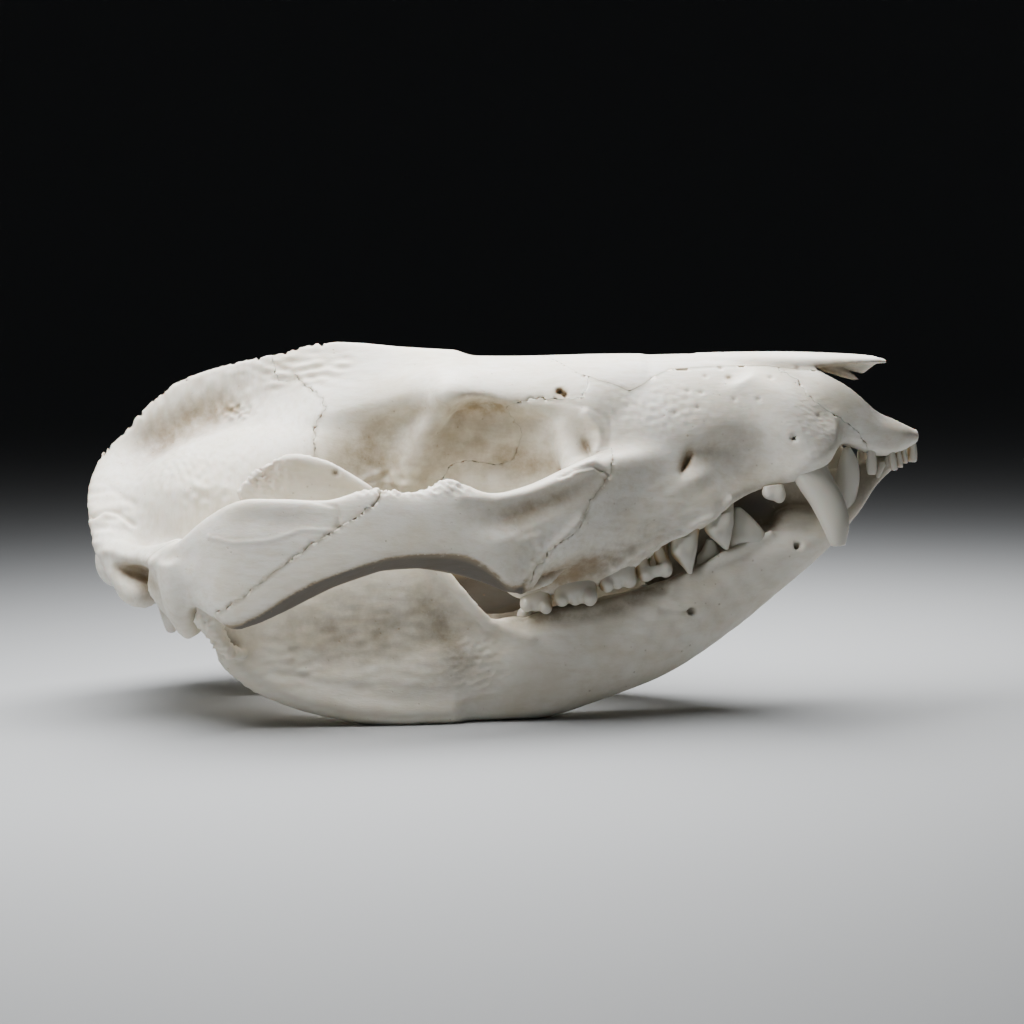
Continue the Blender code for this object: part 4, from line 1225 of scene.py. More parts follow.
    brain_stem_hole: Knob = Knob((-61, 0, 27.6), (9, 5.2, 3.8))
    brain_room: Knob = Knob((-44, 0, 31.5), (13, 11, 9))
    orbit_ridge: Strand = Strand(((-7.8, -11.2, 48.6, 0.8), (-9.8, -8.6, 46, 1.2), (-12.4, -6.6, 42, 1.3),
                                  (-14.4, -5.5, 36, 1.2)))
    orbit_bowl: Knob = Knob((1, -20.6, 41.2), (13.4, 10.6, 7.8), turn=-14)
    orbit_pillar: Strand = Strand(((9.2, -11.2, 43.4, 0.6), (9.8, -12.2, 41, 1.2), (10.8, -13.6, 38, 1.9)))
    tear_pocket: Knob = Knob((12.7, -16.4, 41.4), (0.9, 4.4, 2.4), pitch=24)
    ledge_cut: Knob = Knob((-3.2, -14, 45.7), (5.6, 6.2, 3.5))
    cheek_slit: Knob = Knob((27.8, -13.4, 38.9), (0.85, 3.6, 2.4), pitch=-26)
    cheek_hollow: Knob = Knob((37.8, -15.6, 38), (7.4, 6.4, 5.6), pitch=-20)
    cheek_hole: Strand = Strand(((27.8, -11.4, 38.7, 0.7), (24, -10, 38.4, 0.8), (19, -9, 37.8, 0.8)))
    ear_ridge: Strand = Strand(((-60, -15.6, 26.6, 0.8), (-55.5, -17.4, 25.4, 1.1), (-51, -20, 25.4, 1.6),
                                (-47.6, -23.6, 26.4, 1.8)))
    ear_hollow: Knob = Knob((-53.6, -20, 22.4), (4.4, 3.6, 1.5), pitch=-18)
    small_holes: Sequence[Strand] = (
        Strand(((8.2, -13, 50, 0.55), (8.7, -10.2, 49.5, 0.5))),
        Strand(((9.5, -13, 49.2, 0.5), (9.4, -10.2, 49, 0.4))),
        Strand(((44.1, -13, 42.5, 0.55), (44.1, -9.6, 42.5, 0.45))),
    )
    coronal: Suture = Suture([(-38, 62), (-35, 51), (-33, 50.9), (-32.3, 52), (-30.7, 50.3), (-27.8, 48.4),
                              (-27.2, 46.7), (-28.6, 44.7), (-28.8, 42), (-28, 36), (-25, 30), (-23, 25),
                              (-23, 12)], 0.16, 1.6, 3)
    orbit: Suture = Suture([(13.4, 62), (13, 51), (12, 48.6), (8.6, 48.5), (4.6, 48.6), (0.4, 47.3),
                            (1, 46.2), (3, 43.4), (2.3, 41), (1.6, 39), (-1, 38.2), (-5.6, 38.9),
                            (-8, 38.2), (-9.2, 36), (-12, 33.6), (-16, 32), (-23, 31), (-23, 5)], 0.1, 1.8,
                           4)
    muzzle: Suture = Suture([(40.6, 62), (42.3, 52.8), (45.2, 51.2), (46.4, 48.8), (50.2, 46.1),
                             (53.8, 43.9), (56.3, 40.8), (56.6, 20)], 0.1, 1.8, 5)
    cheek: Suture = Suture([(16.6, 60), (16.4, 38.4), (15.6, 36.8), (13.1, 33.7), (12, 31.4), (10.9, 29.3),
                            (7.3, 27.2), (6, 25.6), (4.7, 24.3), (1.8, 19.6), (1, 10)], 0.14, 2.4, 6)
    rear_arch: Suture = Suture([(-15, 60), (-16.4, 37), (-18.6, 34), (-22, 31.9), (-27.6, 28.4),
                                (-34.2, 23.5), (-37.6, 20.8), (-41.4, 18.4), (-44, 10)], 0.08, 3.4, 7)
    notch_seed: int = 11
    notch_first: float = 0.8                 # from the line's start to the first nick
    notch_gap: tuple[float, float] = (0.7, 3.2)          # least distance between nicks, and what chance adds
    notch_deep: tuple[float, float] = (0.3, 0.6)         # least half depth, and what chance adds
    notch_wide: tuple[float, float] = (0.16, 0.34)       # range of half widths
    notch_pitch: tuple[float, float] = (-30.0, 50.0)     # range of slants
    notch_through: float = 3.4               # half length across the crest
    notch_lift: float = 0.35                 # how far above the edge their middles are
    low: Point = (-66.5, -37, 11)
    high: Point = (66.5, 1.2, 59)
    notch_line: Line = ((-26, 56.8), (-30, 56.2), (-35, 55.1), (-43.5, 53.3), (-50.5, 50.8), (-55.2, 47),
                        (-60.5, 41), (-63.5, 37.8))
    relief: Sequence[Stroke | Dent | Rough] = (
        Dent((-46.6, 45.8), (7, 2.8), -0.9, lean=24, near=-9),
        Dent((-54, 41.6), (4, 2.6), -0.9, lean=44, near=-10),
        Dent((-36, 48.6), (4, 1.5), -0.3, lean=20, near=-8),
        Rough((-41.2, -3, 46.4), (2.2, 3, 1.2), 1.1, 0.32, 21),
        Rough((-50, -2, 47), (14, 4, 5), 2.6, 0.12, 22, (0.6, 1, 1.6)),
        Rough((-32, -2, 52.5), (8, 4, 2.5), 1.5, 0.16, 23, (2.4, 1, 0.7)),
        Rough((-48, -14, 38), (12, 8, 6), 1.3, 0.05, 24, (0.8, 1, 3)),
        Dent((-45.4, 35), (4.6, 1.6), 0.5, near=-20),
        Dent((-40, 33.6), (2.4, 1.4), 0.35, near=-20),
        Rough((-45, -16, 34.4), (5, 5, 2.6), 1.7, 0.12, 25),
        Stroke(((-62.6, 30.5), (-60.4, 31.5), (-58.4, 31.3), (-55.8, 29.6)), 0.34, -0.4),
        Stroke(((-62.6, 29.9), (-60.4, 30.8), (-58.4, 30.6), (-56.2, 29)), 0.4, 0.25),
        Stroke(((-63.4, 34), (-60, 34.6), (-56, 32.6)), 0.5, -0.2),
        Rough((-60, -12, 29), (4.5, 8, 6), 2.2, 0.12, 26, (1.6, 1, 0.8)),
        Stroke(((-59.5, 26), (-55.8, 24.9), (-51.3, 25), (-49.1, 25.6)), 0.9, 0.6, near=-26),
        Dent((-55, 19.2), (3, 1.8), 0.6, near=-24),
        Dent((2.6, 38), (5.4, 2.6), -0.7, near=-14),
        *(Dent(spot, (0.32, 0.28), -0.24) for spot in PORES),
        Stroke(((12.6, 46.4), (14.4, 44.2), (14.7, 41.8), (13.6, 39.6), (10.6, 38.2)), 0.7, 0.5, near=-22),
        Stroke(((0.4, 47.3), (4.6, 48.5), (8.6, 48.1), (12.6, 47.4), (14.7, 46.4), (16.2, 45.6),
                (16.4, 43.4), (16, 41), (13.4, 38.9), (9.4, 37.7)), 0.3, -0.1, near=-24),
        Stroke(((2.6, 43.4), *orbit.line[8:14]), 0.3, -0.03, near=-14),
        Dent((3, 32.8), (6.6, 2.5), -0.9, lean=20, near=-31, far=-14),
        Dent((10.4, 35.2), (4.6, 2), -0.6, lean=30, near=-31, far=-14),
        Stroke(((8.3, 37.4), (10.8, 38.2), (13.4, 38.8), (15.4, 38.1), (16, 37.4)), 0.24, -0.4, near=-26),
        Stroke(((-6, 34.9), (-1, 34.4), (4, 35.4), (9, 37.2), (13.6, 39)), 0.9, 0.35, near=-31, far=-14),
        Dent((0, 28.6), (5, 2), 0.3, lean=-10, near=-31, far=-14),
        Rough((4, -24, 28), (5, 5, 3.4), 1.5, 0.06, 27),
        Stroke(((11.6, 31), (9, 28.4), (5, 24.6), (2.6, 20.8)), 0.8, 0.5, near=-26, far=-12),
        Rough((5.4, -20, 23.6), (4, 6, 4), 1.2, 0.1, 28),
        Stroke(((-42.2, 29.6), (-38.8, 28.9), (-34.2, 29.1), (-31.6, 29.8), (-28.9, 30.8), (-23.9, 30.6)),
               0.3, 0.16, near=-38, far=-20),
        Dent((-33, 32.2), (8.6, 2), -0.45, near=-38, far=-20),
        Stroke(((-23.9, 30.6), (-23.4, 32.6), (-24, 34), (-27, 34.8)), 0.3, -0.14, near=-38, far=-20),
        Rough((-13, -30, 36.6), (9, 4, 1), 1, 0.28, 29),
        Dent((37, 40.8), (4.6, 4), -0.6, near=-18),
        Dent((31.2, 40.6), (3, 1.5), -0.6, lean=12, near=-18),
        Dent((28.8, 36.4), (2.4, 1.2), 0.5, lean=20, near=-18),
        Dent((43.4, 44.4), (4.6, 4), 0.7, lean=-35, near=-16),
        Dent((47.6, 39.6), (2.6, 1.8), 0.4, near=-16),
        Stroke(((51, 46), (56, 44), (62, 42.8)), 1.2, 0.2, near=-12),
        Rough((24, -14, 47), (9, 8, 4), 1.3, 0.045, 30),
        Rough((47, -9, 43), (6, 6, 5), 0.8, 0.035, 31, (1.3, 1, 0.9)),
        Dent((11.6, 22.9), (8, 2.5), -1.3, lean=21, near=-24),
        Dent((6.6, 21.4), (2.6, 1.8), -0.7, lean=40, near=-24),
        Rough((22, -14, 31), (12, 6, 5), 1.6, 0.04, 32, (3, 1, 0.8)),
        Rough((20, -14, 24.6), (16, 6, 4), 1.1, 0.09, 33),
        Stroke(((17, 23.2), (21.3, 26.2), (24.6, 27.5), (27.4, 28.2), (29.4, 29.8), (32.4, 30.8),
                (34.6, 33.2)), 0.5, 0.5, near=-18),
        Rough((-17, -7, 35.4), (5, 5, 2.2), 2, 0.2, 34),
        Rough((0, -8, 40), (9, 5, 7), 5, 0.1, 35),
        Stroke(((-26, 33), (-21, 36.2), (-18, 37.4)), 0.4, 0.3, near=-14),
        Stroke(((-23, 34), (-18.5, 35.6), (-15, 35.2)), 0.4, 0.3, near=-14),
    )
    # Browner places, with the strength as their height. The strokes along the sutures mark real dark joints;
    # most dents are painted shade in hollows, holes and pores, and painted shadow on undersides and on faces
    # seen through gaps, near black above 1.
    stains_and_shade: Sequence[Stroke | Dent] = (
        # painted shade in the hollow below the crest
        Dent((-47, 45.2), (8, 2.6), 0.7, lean=24, near=-10),
        Stroke(((12, -9), *((x, -y) for x, y in nasal_half[4:11]), (49, -5.2)), 0.36, 0.5, Face.TOP),
        Stroke(coronal.line[2:10], 0.4, 0.5, near=-14),
        Stroke(((-42, 30), (-38.8, 29.4), (-34.2, 29.6), (-31.6, 30.3), (-28.9, 31.3), (-23.9, 31.1),
                (-23.2, 32.6), (-23.8, 34.2)), 0.3, 0.45, near=-38, far=-20),
        Stroke(((-17, 36.4), *rear_arch.line[2:7], (-40.6, 18.8)), 0.4, 0.7, near=-38, far=-20),
        Stroke(((16.4, 40), *cheek.line[1:9], (2.4, 20.6)), 0.4, 0.5, near=-31, far=-10),
        Dent((-41.8, 46.4), (1.3, 0.8), 0.8, near=-9),
        # painted shade in the hollows by the ear and behind the jaw's socket
        Dent((-53.6, 22.4), (4.4, 1.7), 0.8, lean=-18, near=-26),
        Dent((-49.8, 20.5), (1.4, 3.6), 0.6, near=-26),
        # painted shade behind the eye, on the eye socket's walls, under the brow's ledge and in the tear
        # pocket
        Dent((-20, 40), (7.4, 6), 0.85, near=-14),
        Dent((-9, 38), (3.4, 7), 0.45, near=-14),
        Dent((-3.4, 47.4), (6, 1.5), 1, near=-14),
        Dent((0, 41), (8.4, 6), 0.6, near=-14),
        Dent((4.6, 37.8), (3.6, 2.4), 0.4, near=-14),
        Dent((12.5, 41.4), (0.8, 2), 0.3, lean=24, near=-17),
        # painted shade inside the snout's pores
        Dent((34.6, 51.6), (0.7, 0.5), 0.9),
        *(Dent(spot, (0.34, 0.3), 0.6) for spot in PORES),
        # painted shade in the arch's hollow and inside the cheek's opening
        Dent((5, 33.4), (7, 2), 0.4, lean=26, near=-31, far=-14),
        Dent((27.8, 39), (1.3, 2.4), 0.8, lean=-20, near=-18),
        # painted shade in the snout's hollow, below it and low on the maxilla
        Dent((38, 39), (5, 4.6), 0.1, near=-18),
        Dent((38, 36), (5, 1.6), 0.4, lean=12, near=-18),
        Dent((20, 33), (8, 5), 0.16, lean=20, near=-20),
        # painted shade inside a small hole near the brow
        Dent((8.8, 49.5), (0.9, 0.7), 1.6, near=-18),
        # painted shade round the jaw's socket
        Dent((-46, 18), (3, 4.4), 0.36, near=-32),
        Dent((-44.2, 17.2), (1.2, 1.6), 0.8, near=-32),
        # painted shade in the hollow above the cheek teeth
        Dent((18, 25), (10, 1.6), 0.3, lean=24, near=-22),
        # painted shadow on the underside of the cheek arch
        Stroke(((-37, -34), (-30, -33.8), (-22, -32.6), (-14, -30.4), (-7, -27.8), (-1, -25.6),
                (1.6, -24.6)), 3.4, 1.9, Face.UNDER, near=-38, far=-16),
        # painted shadow on the walls seen behind the molars, and painted shade in the hollow above the cheek
        # teeth
        Dent((-4, 18), (14, 6), 2, Face.ANY, near=-8.4),
        Dent((11, 22.6), (8, 1.8), 0.8, lean=21, near=-24),
        # painted shadow on the palate's inner side, seen past the premolars
        Dent((38, 36.4), (9, 3.4), 1.7, Face.ANY, near=-7.4),
    )

    def notches(self) -> list[Knob]:
        """Small nicks along the crest's edge, from one seed."""
        draw = np.random.default_rng(self.notch_seed)
        corners = np.array(self.notch_line)
        along = lengths_along(corners)
        made, place = [], self.notch_first
        while place < along[-1]:
            x, z = [float(np.interp(place, along, corners[:, axis])) for axis in range(2)]
            deep = self.notch_deep[0] + self.notch_deep[1] * draw.random() ** 2
            wide = draw.uniform(*self.notch_wide)
            half = (wide, self.notch_through, deep)
            pitch = float(draw.uniform(*self.notch_pitch))
            made.append(Knob((x, 0.0, z + self.notch_lift), half, pitch))
            place += self.notch_gap[0] + self.notch_gap[1] * draw.random() ** 2
        return made

    def shape_core(self) -> Mould:
        """Shapes the right half of the braincase and the snout."""
        mould = Mould(self.low, self.high, BONE_CELL)
        mould.add(Tube.of_sections(self.core))
        mould.add(Tube.of_sections(self.brow), soft=2.0)
        mould.add(self.orbit_ridge, soft=4.0)
        mould.carve(self.orbit_bowl, soft=2.2)
        mould.add(self.orbit_pillar, soft=3.4)
        mould.carve(self.tear_pocket, self.ledge_cut, soft=0.8)
        mould.add(Tube.of_ribs(self.crest, power=2.0), soft=4.4)
        mould.add(Tube.of_ribs(self.neck_crest), self.ear_ridge, soft=2.5)
        mould.add(Tube.of_ribs(self.paroccipital), Tube.of_ribs(self.pterygoid), *self.knobs, self.hamulus,
                  soft=1.5)
        mould.add(Tube.of_ribs(self.gum), Tube.of_ribs(self.swelling, power=2.0), soft=3.0)
        mould.carve(self.cheek_hollow, soft=3.0)
        mould.carve(self.ear_hollow, soft=1.2)
        mould.carve(Tube.of_sections(self.nose_opening), soft=0.8)
        mould.carve(self.brain_room, self.brain_stem_hole, self.cheek_slit, self.cheek_hole, soft=0.7)
        mould.add(Tube.of_sections(self.nasal), soft=0.5)
        mould.add(Tube.of_ribs(self.nasal_plate, power=2.0), Tube.of_ribs(self.septum), self.nasal_scrap,
                  soft=0.3)
        mould.carve(*self.small_holes, *self.notches(), soft=0.15)
        return mould

    def shape_arch(self) -> Mould:
        """Shapes the right cheek arch with the socket for the jaw."""
        mould = Mould(self.low, self.high, BONE_CELL)
        mould.add(Tube.of_ribs(self.arch, power=3.2))
        mould.add(self.peak, soft=1.2)
        mould.add(self.arch_lip, soft=1.6)
        mould.add(Tube.of_ribs(self.shelf), Tube.of_ribs(self.postglenoid), soft=2.0)
        mould.carve(self.under_cutter(), soft=0.5)
        return mould

    def under_cutter(self) -> Tube:
        """A plate that planes the arch's lower edge to a slant, so that its underside shows as a band."""
        rows, thick, spare, square = [], 2.4, 3.0, 8.0
        for x, y, crease, low, inward in self.underside:
            slant = np.array([0.0, inward, low - crease]) / np.hypot(inward, low - crease)
            out = np.array([0.0, slant[2], -slant[1]]) * thick
            start = np.array([x, y, crease]) + out
            far = np.array([x, y + inward, low]) + out
            rows.append(Rib(tuple(start - slant * spare), tuple(far + slant * spare), thick))
        return Tube.of_ribs(rows, power=square)

    def build(self) -> None:
        """Builds every bone of the cranium and places it."""
        core, arch = self.shape_core(), self.shape_arch()
        whole = core.joined(arch, self.arch_soft)
        log.info("cranium shaped")
        long, across, up = whole.whole().axes()
        right = across + GAP / 2
        skull_side = np.minimum((core.values - arch.values + GAP) / 2, -across - self.arch_reach)
        arch_side = np.maximum((arch.values - core.values + GAP) / 2, across + self.arch_reach)
        half = np.interp(long, *np.array(self.nasal_half).T)
        steep = np.sqrt(1 + (np.gradient(half, BONE_CELL, axis=0)) ** 2)
        bed = np.maximum.reduce(np.broadcast_arrays(
            (-across - half) / steep, self.nasal_under - up, -whole.values - self.nasal_depth))
        in_nasal, no_nasal = bed + GAP / 2, GAP / 2 - bed
        lines = {name: (getattr(self, name).limit(core, True), getattr(self, name).limit(core, False))
                 for name in ("coronal", "orbit", "muzzle", "cheek", "rear_arch")}
        ahead = {name: pair[0] for name, pair in lines.items()}
        behind = {name: pair[1] for name, pair in lines.items()}
        face_side = np.minimum(skull_side, ahead["cheek"])
        log.info("sutures laid")
        face, case, slot = FACE_BONE.material(), CASE_BONE.material(), "cranium_bone"
        for bone in (
            Bone("braincase", [skull_side, behind["coronal"]], case, slot, paired=False),
            Bone("frontal", [skull_side, ahead["coronal"], behind["orbit"], no_nasal], face, slot,
                 paired=False),
            Bone("maxilla_right", [face_side, ahead["orbit"], behind["muzzle"], no_nasal, right], face,
                 slot),
            Bone("premaxilla_right", [ahead["muzzle"], no_nasal, right], face, slot),
            Bone("nasal_right", [in_nasal, right], face, slot),
            Bone("jugal_right", [arch_side, behind["cheek"], ahead["rear_arch"]], face, slot),
            Bone("squamosal_right", [arch_side, behind["rear_arch"]], face, slot),
        ):
            bone.build(whole, self.relief, self.stains_and_shade)


@dataclass
class Jaw:
    """The lower jaw: two bones that meet under the front teeth."""

    body: Sequence[Rib] = ribs(
        (60.9, -2, 39.8, 60.1, -1.4, 37.4, 1.6), (57, -2.9, 37.6, 56.4, -1.8, 34.6, 2.6),
        (52.4, -4.2, 33.6, 52.3, -2.2, 30.9, 3.8), (47, -5.8, 30, 47, -2.6, 24, 4.2),
        (41, -7.4, 28, 40.3, -3.4, 17.5, 4.2), (34, -9.2, 24.8, 33, -5.2, 11.5, 4),
        (26, -11.2, 21, 24.5, -7.8, 6.1, 3.9), (16, -13, 18.5, 15, -10.6, 2.6, 3.9),
        (7, -14.4, 16.9, 6.5, -12.6, 0.1, 3.9), (-1.6, -15.8, 13.6, -3, -14.6, -0.4, 3.4),
        (-10, -17.6, 12, -11, -16.4, -0.4, 2.8), (-19, -18.8, 9, -19, -18, 0.2, 2.2),
        (-28.5, -19.8, 9, -29, -19.2, 2.6, 2), (-36, -20.8, 12, -36.6, -20.2, 5.9, 2),
        (-40.2, -22.2, 16, -41.9, -22, 11.4, 2.1), (-41.2, -24, 19, -44.6, -24, 16.2, 2.1))
    branch: Sequence[Rib] = ribs(
        (2, -14.6, 15.6, 1, -14.6, 8, 1.8), (-2.8, -15.8, 15.6, -3, -15.6, 6, 1.4),
        (-6.2, -17, 19.6, -7, -16.8, 4, 1.1), (-10.4, -18.2, 24.6, -11, -17.6, 3, 0.95),
        (-15.4, -19.2, 30.4, -16, -18.6, 3, 1), (-20.2, -20.2, 35.6, -21, -19.4, 3.4, 0.9),
        (-26, -21, 39.2, -26, -20, 4.4, 0.8), (-31.2, -21.4, 40.5, -30.6, -20.6, 6, 0.8),
        (-36, -21.7, 38.8, -34.4, -21.2, 9, 0.8), (-39.2, -21.9, 35.4, -37.6, -21.7, 29, 0.7))
    neck: Sequence[Rib] = ribs(
        (-33, -21.2, 30, -32, -20.2, 6, 0.8), (-37, -21.8, 27, -36.4, -20.8, 8, 1),
        (-39.8, -22.6, 22, -39.4, -21.8, 10, 1.3), (-42, -23.4, 19, -42, -22.6, 13, 1.5))
    condyle: Sequence[Rib] = ribs(
        (-42.6, -17.6, 18.8, -42.6, -17.6, 16.4, 1.2), (-42.4, -19.4, 19.8, -42.4, -19.4, 15.8, 2),
        (-42.4, -24, 20.2, -42.4, -24, 15.2, 2.1), (-42.8, -28, 19.8, -42.8, -28, 15, 2.1),
        (-43, -29.6, 18.6, -43, -29.6, 15.8, 1.3))
    angle: Sequence[Rib] = ribs(
        (-14, -18.2, 2, -14, -16, 1.6, 1), (-22, -19, 3, -22, -14.6, 2.2, 1.1),
        (-30, -19.6, 5, -30, -11.6, 3.8, 1.1), (-37, -20.4, 8.4, -37, -9.4, 6.6, 1),
        (-41, -21, 11.6, -41.6, -9.8, 9.6, 0.9), (-43, -19.6, 12.8, -44, -12.4, 11.6, 0.6))
    rims: Sequence[Strand] = (
        Strand(((3, -16.2, 12.8, 1), (-2.4, -17.2, 14.8, 0.9), (-4.6, -17.7, 17.4, 0.7),
                (-8.6, -18.6, 22.6, 0.65), (-14, -19.8, 29, 0.7), (-20.2, -20.6, 35.4, 0.7),
                (-26.2, -21.2, 38.8, 0.7), (-31.2, -21.4, 39.8, 0.6))),
        Strand(((26, -12.5, 20.4, 0.6), (29.3, -11.9, 21.8, 0.7), (31.6, -11.4, 23.2, 0.7),
                (33.7, -10.9, 24.6, 0.7), (35.8, -10.3, 25.5, 0.6), (38.4, -9.5, 26.6, 0.5),
                (41, -8.8, 27.8, 0.4))),
        Strand(((-41.9, -28.6, 15, 1.15), (-40.9, -28.2, 13.4, 1.1), (-39.8, -26.8, 12.2, 0.9),
                (-38.2, -24.4, 11.4, 0.6))),
    )
    holes: Sequence[Strand] = (
        Strand(((46.8, -10.4, 26.5, 0.45), (45, -8.4, 25.8, 0.55), (39, -7.4, 24, 0.5))),
        Strand(((31.6, -14.8, 16.5, 0.45), (28.6, -12.6, 16.3, 0.5), (24, -11.2, 15.8, 0.45))),
    )
    inner_boss: Knob = Knob((45.2, -5.2, 30), (2.9, 1.5, 1.5))
    inner_wall: Sequence[Rib] = ribs(
        (22, -6.6, 23, 22, -6.6, 16, 0.9), (26, -6, 27, 26, -6, 17, 0.9), (30, -5.4, 30, 30, -5.4, 18, 0.9),
        (34, -4.6, 32, 34, -4.6, 20, 0.9), (38, -3.8, 34.2, 38, -3.8, 22, 0.9),
        (43, -3.2, 35.6, 43, -3.2, 25, 0.9), (48, -2.4, 36.6, 48, -2.4, 28, 0.9),
        (52, -2, 37, 52, -2, 31, 0.9), (56, -1.6, 37.4, 56, -1.6, 34, 0.8))
    relief: Sequence[Stroke | Dent | Rough] = (
        Stroke(((-41, 10.4), (-36, 6.5), (-28.8, 3.7), (-22.6, 2.4), (-15.4, 1.6), (-8, 1.6)), 1.8, 1.3),
        Stroke(((-38, 11.2), (-34, 8.8), (-28, 6.8), (-20, 5.4)), 0.8, -0.14),
        Dent((-22, 14), (11, 6.6), -0.9, lean=-6),
        Dent((-8.6, 14.6), (2.6, 7), -1, lean=28),
        Stroke(((4, 12.6), (-2, 15.4), (-8.6, 22), (-14, 29)), 1.1, 0.5),
        Dent((-4.6, 8.6), (5, 4.4), -0.5, lean=30),
        Rough((-22, -20, 14), (16, 6, 9), 4.6, 0.08, 41, (2, 1, 1)),
        Rough((-22, -20, 14), (16, 6, 9), 1.3, 0.04, 47, (2.4, 1, 1)),
        Rough((-34, -20, 9), (7, 6, 4), 1.3, 0.09, 42, (2.2, 1, 0.9)),
        Rough((-4, -18, 10), (5, 6, 5), 1.1, 0.06, 43),
        Rough((-43, -24, 17), (3, 8, 3), 1, 0.24, 44),
        Stroke(((-39.2, 34.2), (-37.6, 37.5), (-33.7, 40), (-28.5, 40.2), (-24.4, 38.6), (-19.9, 35.4)),
               0.8, 0.3),
        Rough((-36, -22, 38), (4, 4, 3), 0.9, 0.22, 45),
        Dent((-29, 36), (5.6, 2.2), -0.2),
        Stroke(((4, 15.6), (12, 16.6), (20, 19), (28.6, 22.4)), 0.7, 0.3),
        Dent((46, 25.4), (1.9, 1.3), 0.3, lean=-20),
        Stroke(((28.2, 16.2), (26.6, 16.3), (24.2, 16.6)), 0.6, -0.35),
        Dent((28.4, 17.5), (1.7, 0.7), 0.2),
        Dent((-24.7, 38), (0.5, 0.4), -0.45, lean=-20),
        Stroke(((35.6, 19.2), (34.2, 18.6)), 0.3, -0.1),
        Rough((-41.6, -27.6, 13.4), (2.6, 3, 2.6), 0.9, 0.22, 48),
        Rough((30, -12, 17), (24, 8, 8), 2.2, 0.06, 46),
    )
    # Browner places, with the strength as their height: darker in the fossa, and painted shade and shadow in
    # a pit, along the tooth row, on the inner faces and at the tip, near black above 1.
    stains_and_shade: Sequence[Stroke | Dent] = (
        Dent((-18, 16), (13, 7), 0.5),
        # painted shade in front of the fossa, and a dark spot that paints the shade of a pit
        Dent((-6.6, 11.4), (3.4, 7), 0.2, lean=24),
        Dent((-24.7, 38.05), (0.5, 0.4), 1.6),
        Dent((-31, 14), (5, 3), 0.2, lean=-20),
        Dent((-30, 36.4), (6, 2.4), 0.14),
        # painted shadow along the tooth row's edge
        Dent((10, 15.8), (9, 1.2), 0.7, lean=6),
        Dent((22, 19.4), (6, 1.2), 0.6, lean=28),
        # painted shadow on the inner wall, at the jaw's tip and on the far jaw's inner face
        Dent((39.4, 31.8), (7, 4), 1.7, near=-7.2),
        Dent((56.4, 35.6), (5, 3.6), 0.8, lean=40),
        Dent((28, 26), (5, 4), 0.9, near=-7.4),
        Dent((-2, 17), (12, 6), 2, Face.ANY, near=-15.4, far=-4),
        # painted shadow along the tooth row's edge
        Stroke(((2, 16), (10, 17.2), (18, 19.2), (25, 21.4), (29, 23)), 1.7, 0.6),
        Dent((-42.6, 18.6), (1.6, 2), 0.4),
        Dent((-22, 0.8), (10, 1.2), 0.3, lean=-14),
    )
    low: Point = (-46.5, -32, -1.5)
    high: Point = (64, 1.2, 42.5)

    def build(self) -> None:
        """Builds both bones of the jaw and places them."""
        mould = Mould(self.low, self.high, BONE_CELL)
        mould.add(Tube.of_ribs(self.body))
        mould.add(Tube.of_ribs(self.branch), Tube.of_ribs(self.neck), soft=2.0)
        mould.add(Tube.of_ribs(self.angle), soft=2.5)
        mould.add(Tube.of_ribs(self.condyle), *self.rims, soft=1.5)
        mould.add(Tube.of_ribs(self.inner_wall), self.inner_boss, soft=2.0)
        mould.carve(*self.holes, soft=0.4)
        _, across, high = mould.whole().axes()
        grounded = mould.within(np.broadcast_to(-high, mould.values.shape), soft=0.4)
        bone = Bone("dentary_right", [across + GAP / 2], JAW_BONE.material(), "jaw_bone")
        bone.build(grounded, self.relief, self.stains_and_shade)


@dataclass(frozen=True)
class Tooth:
    """A tooth: its crown through ribs from the neck to the tip, cusps on it, its roots, and how far in from
    each cusp an inner one stands."""

    ribs: Sequence[Rib]
    roots: Sequence[Strand] = ()
    cusps: Sequence[Knob] = ()
    inner: float = 0.0
    power: float = 2.2
    sides: int = 32
    inner_drop: float = 0.4                  # how much lower an inner cusp stands
    inner_size: Point = (0.9, 1.0, 1.0)      # shares of the outer cusp's size
    ridge_drop: float = 0.6                  # share of a cusp's height that the ridge between two is lower
    ridge_size: Point = (1.0, 1.2, 0.7)
    root_top: float = 0.4                    # share of the cusp's height down to where its root starts
    root_length: float = 5.0
    root_size: tuple[float, float] = (0.7, 0.6)          # shares of the cusp's length, top and bottom

    def crown(self, up: float) -> list[Form]:
        """The forms of its crown, pointing up for 1 and down for -1."""
        made: list[Form] = [Tube.of_ribs(self.ribs, power=self.power, sides=self.sides), *self.cusps]
        for cusp in self.cusps if self.inner else ():
            x, y, z = cusp.centre
            long, _, high = cusp.half
            inward, between = y + self.inner, y + self.inner / 2
            for place, drop, shares in ((inward, self.inner_drop, self.inner_size),
                                        (between, high * self.ridge_drop, self.ridge_size)):
                size = tuple(share * half for share, half in zip(shares, cusp.half))
                made.append(Knob((x, place, z - up * drop), size))
            top, bottom = self.root_size
            made.append(Strand(((x, inward, z - up * high * self.root_top, long * top),
                                (x, inward, z - up * self.root_length, long * bottom))))
        return made


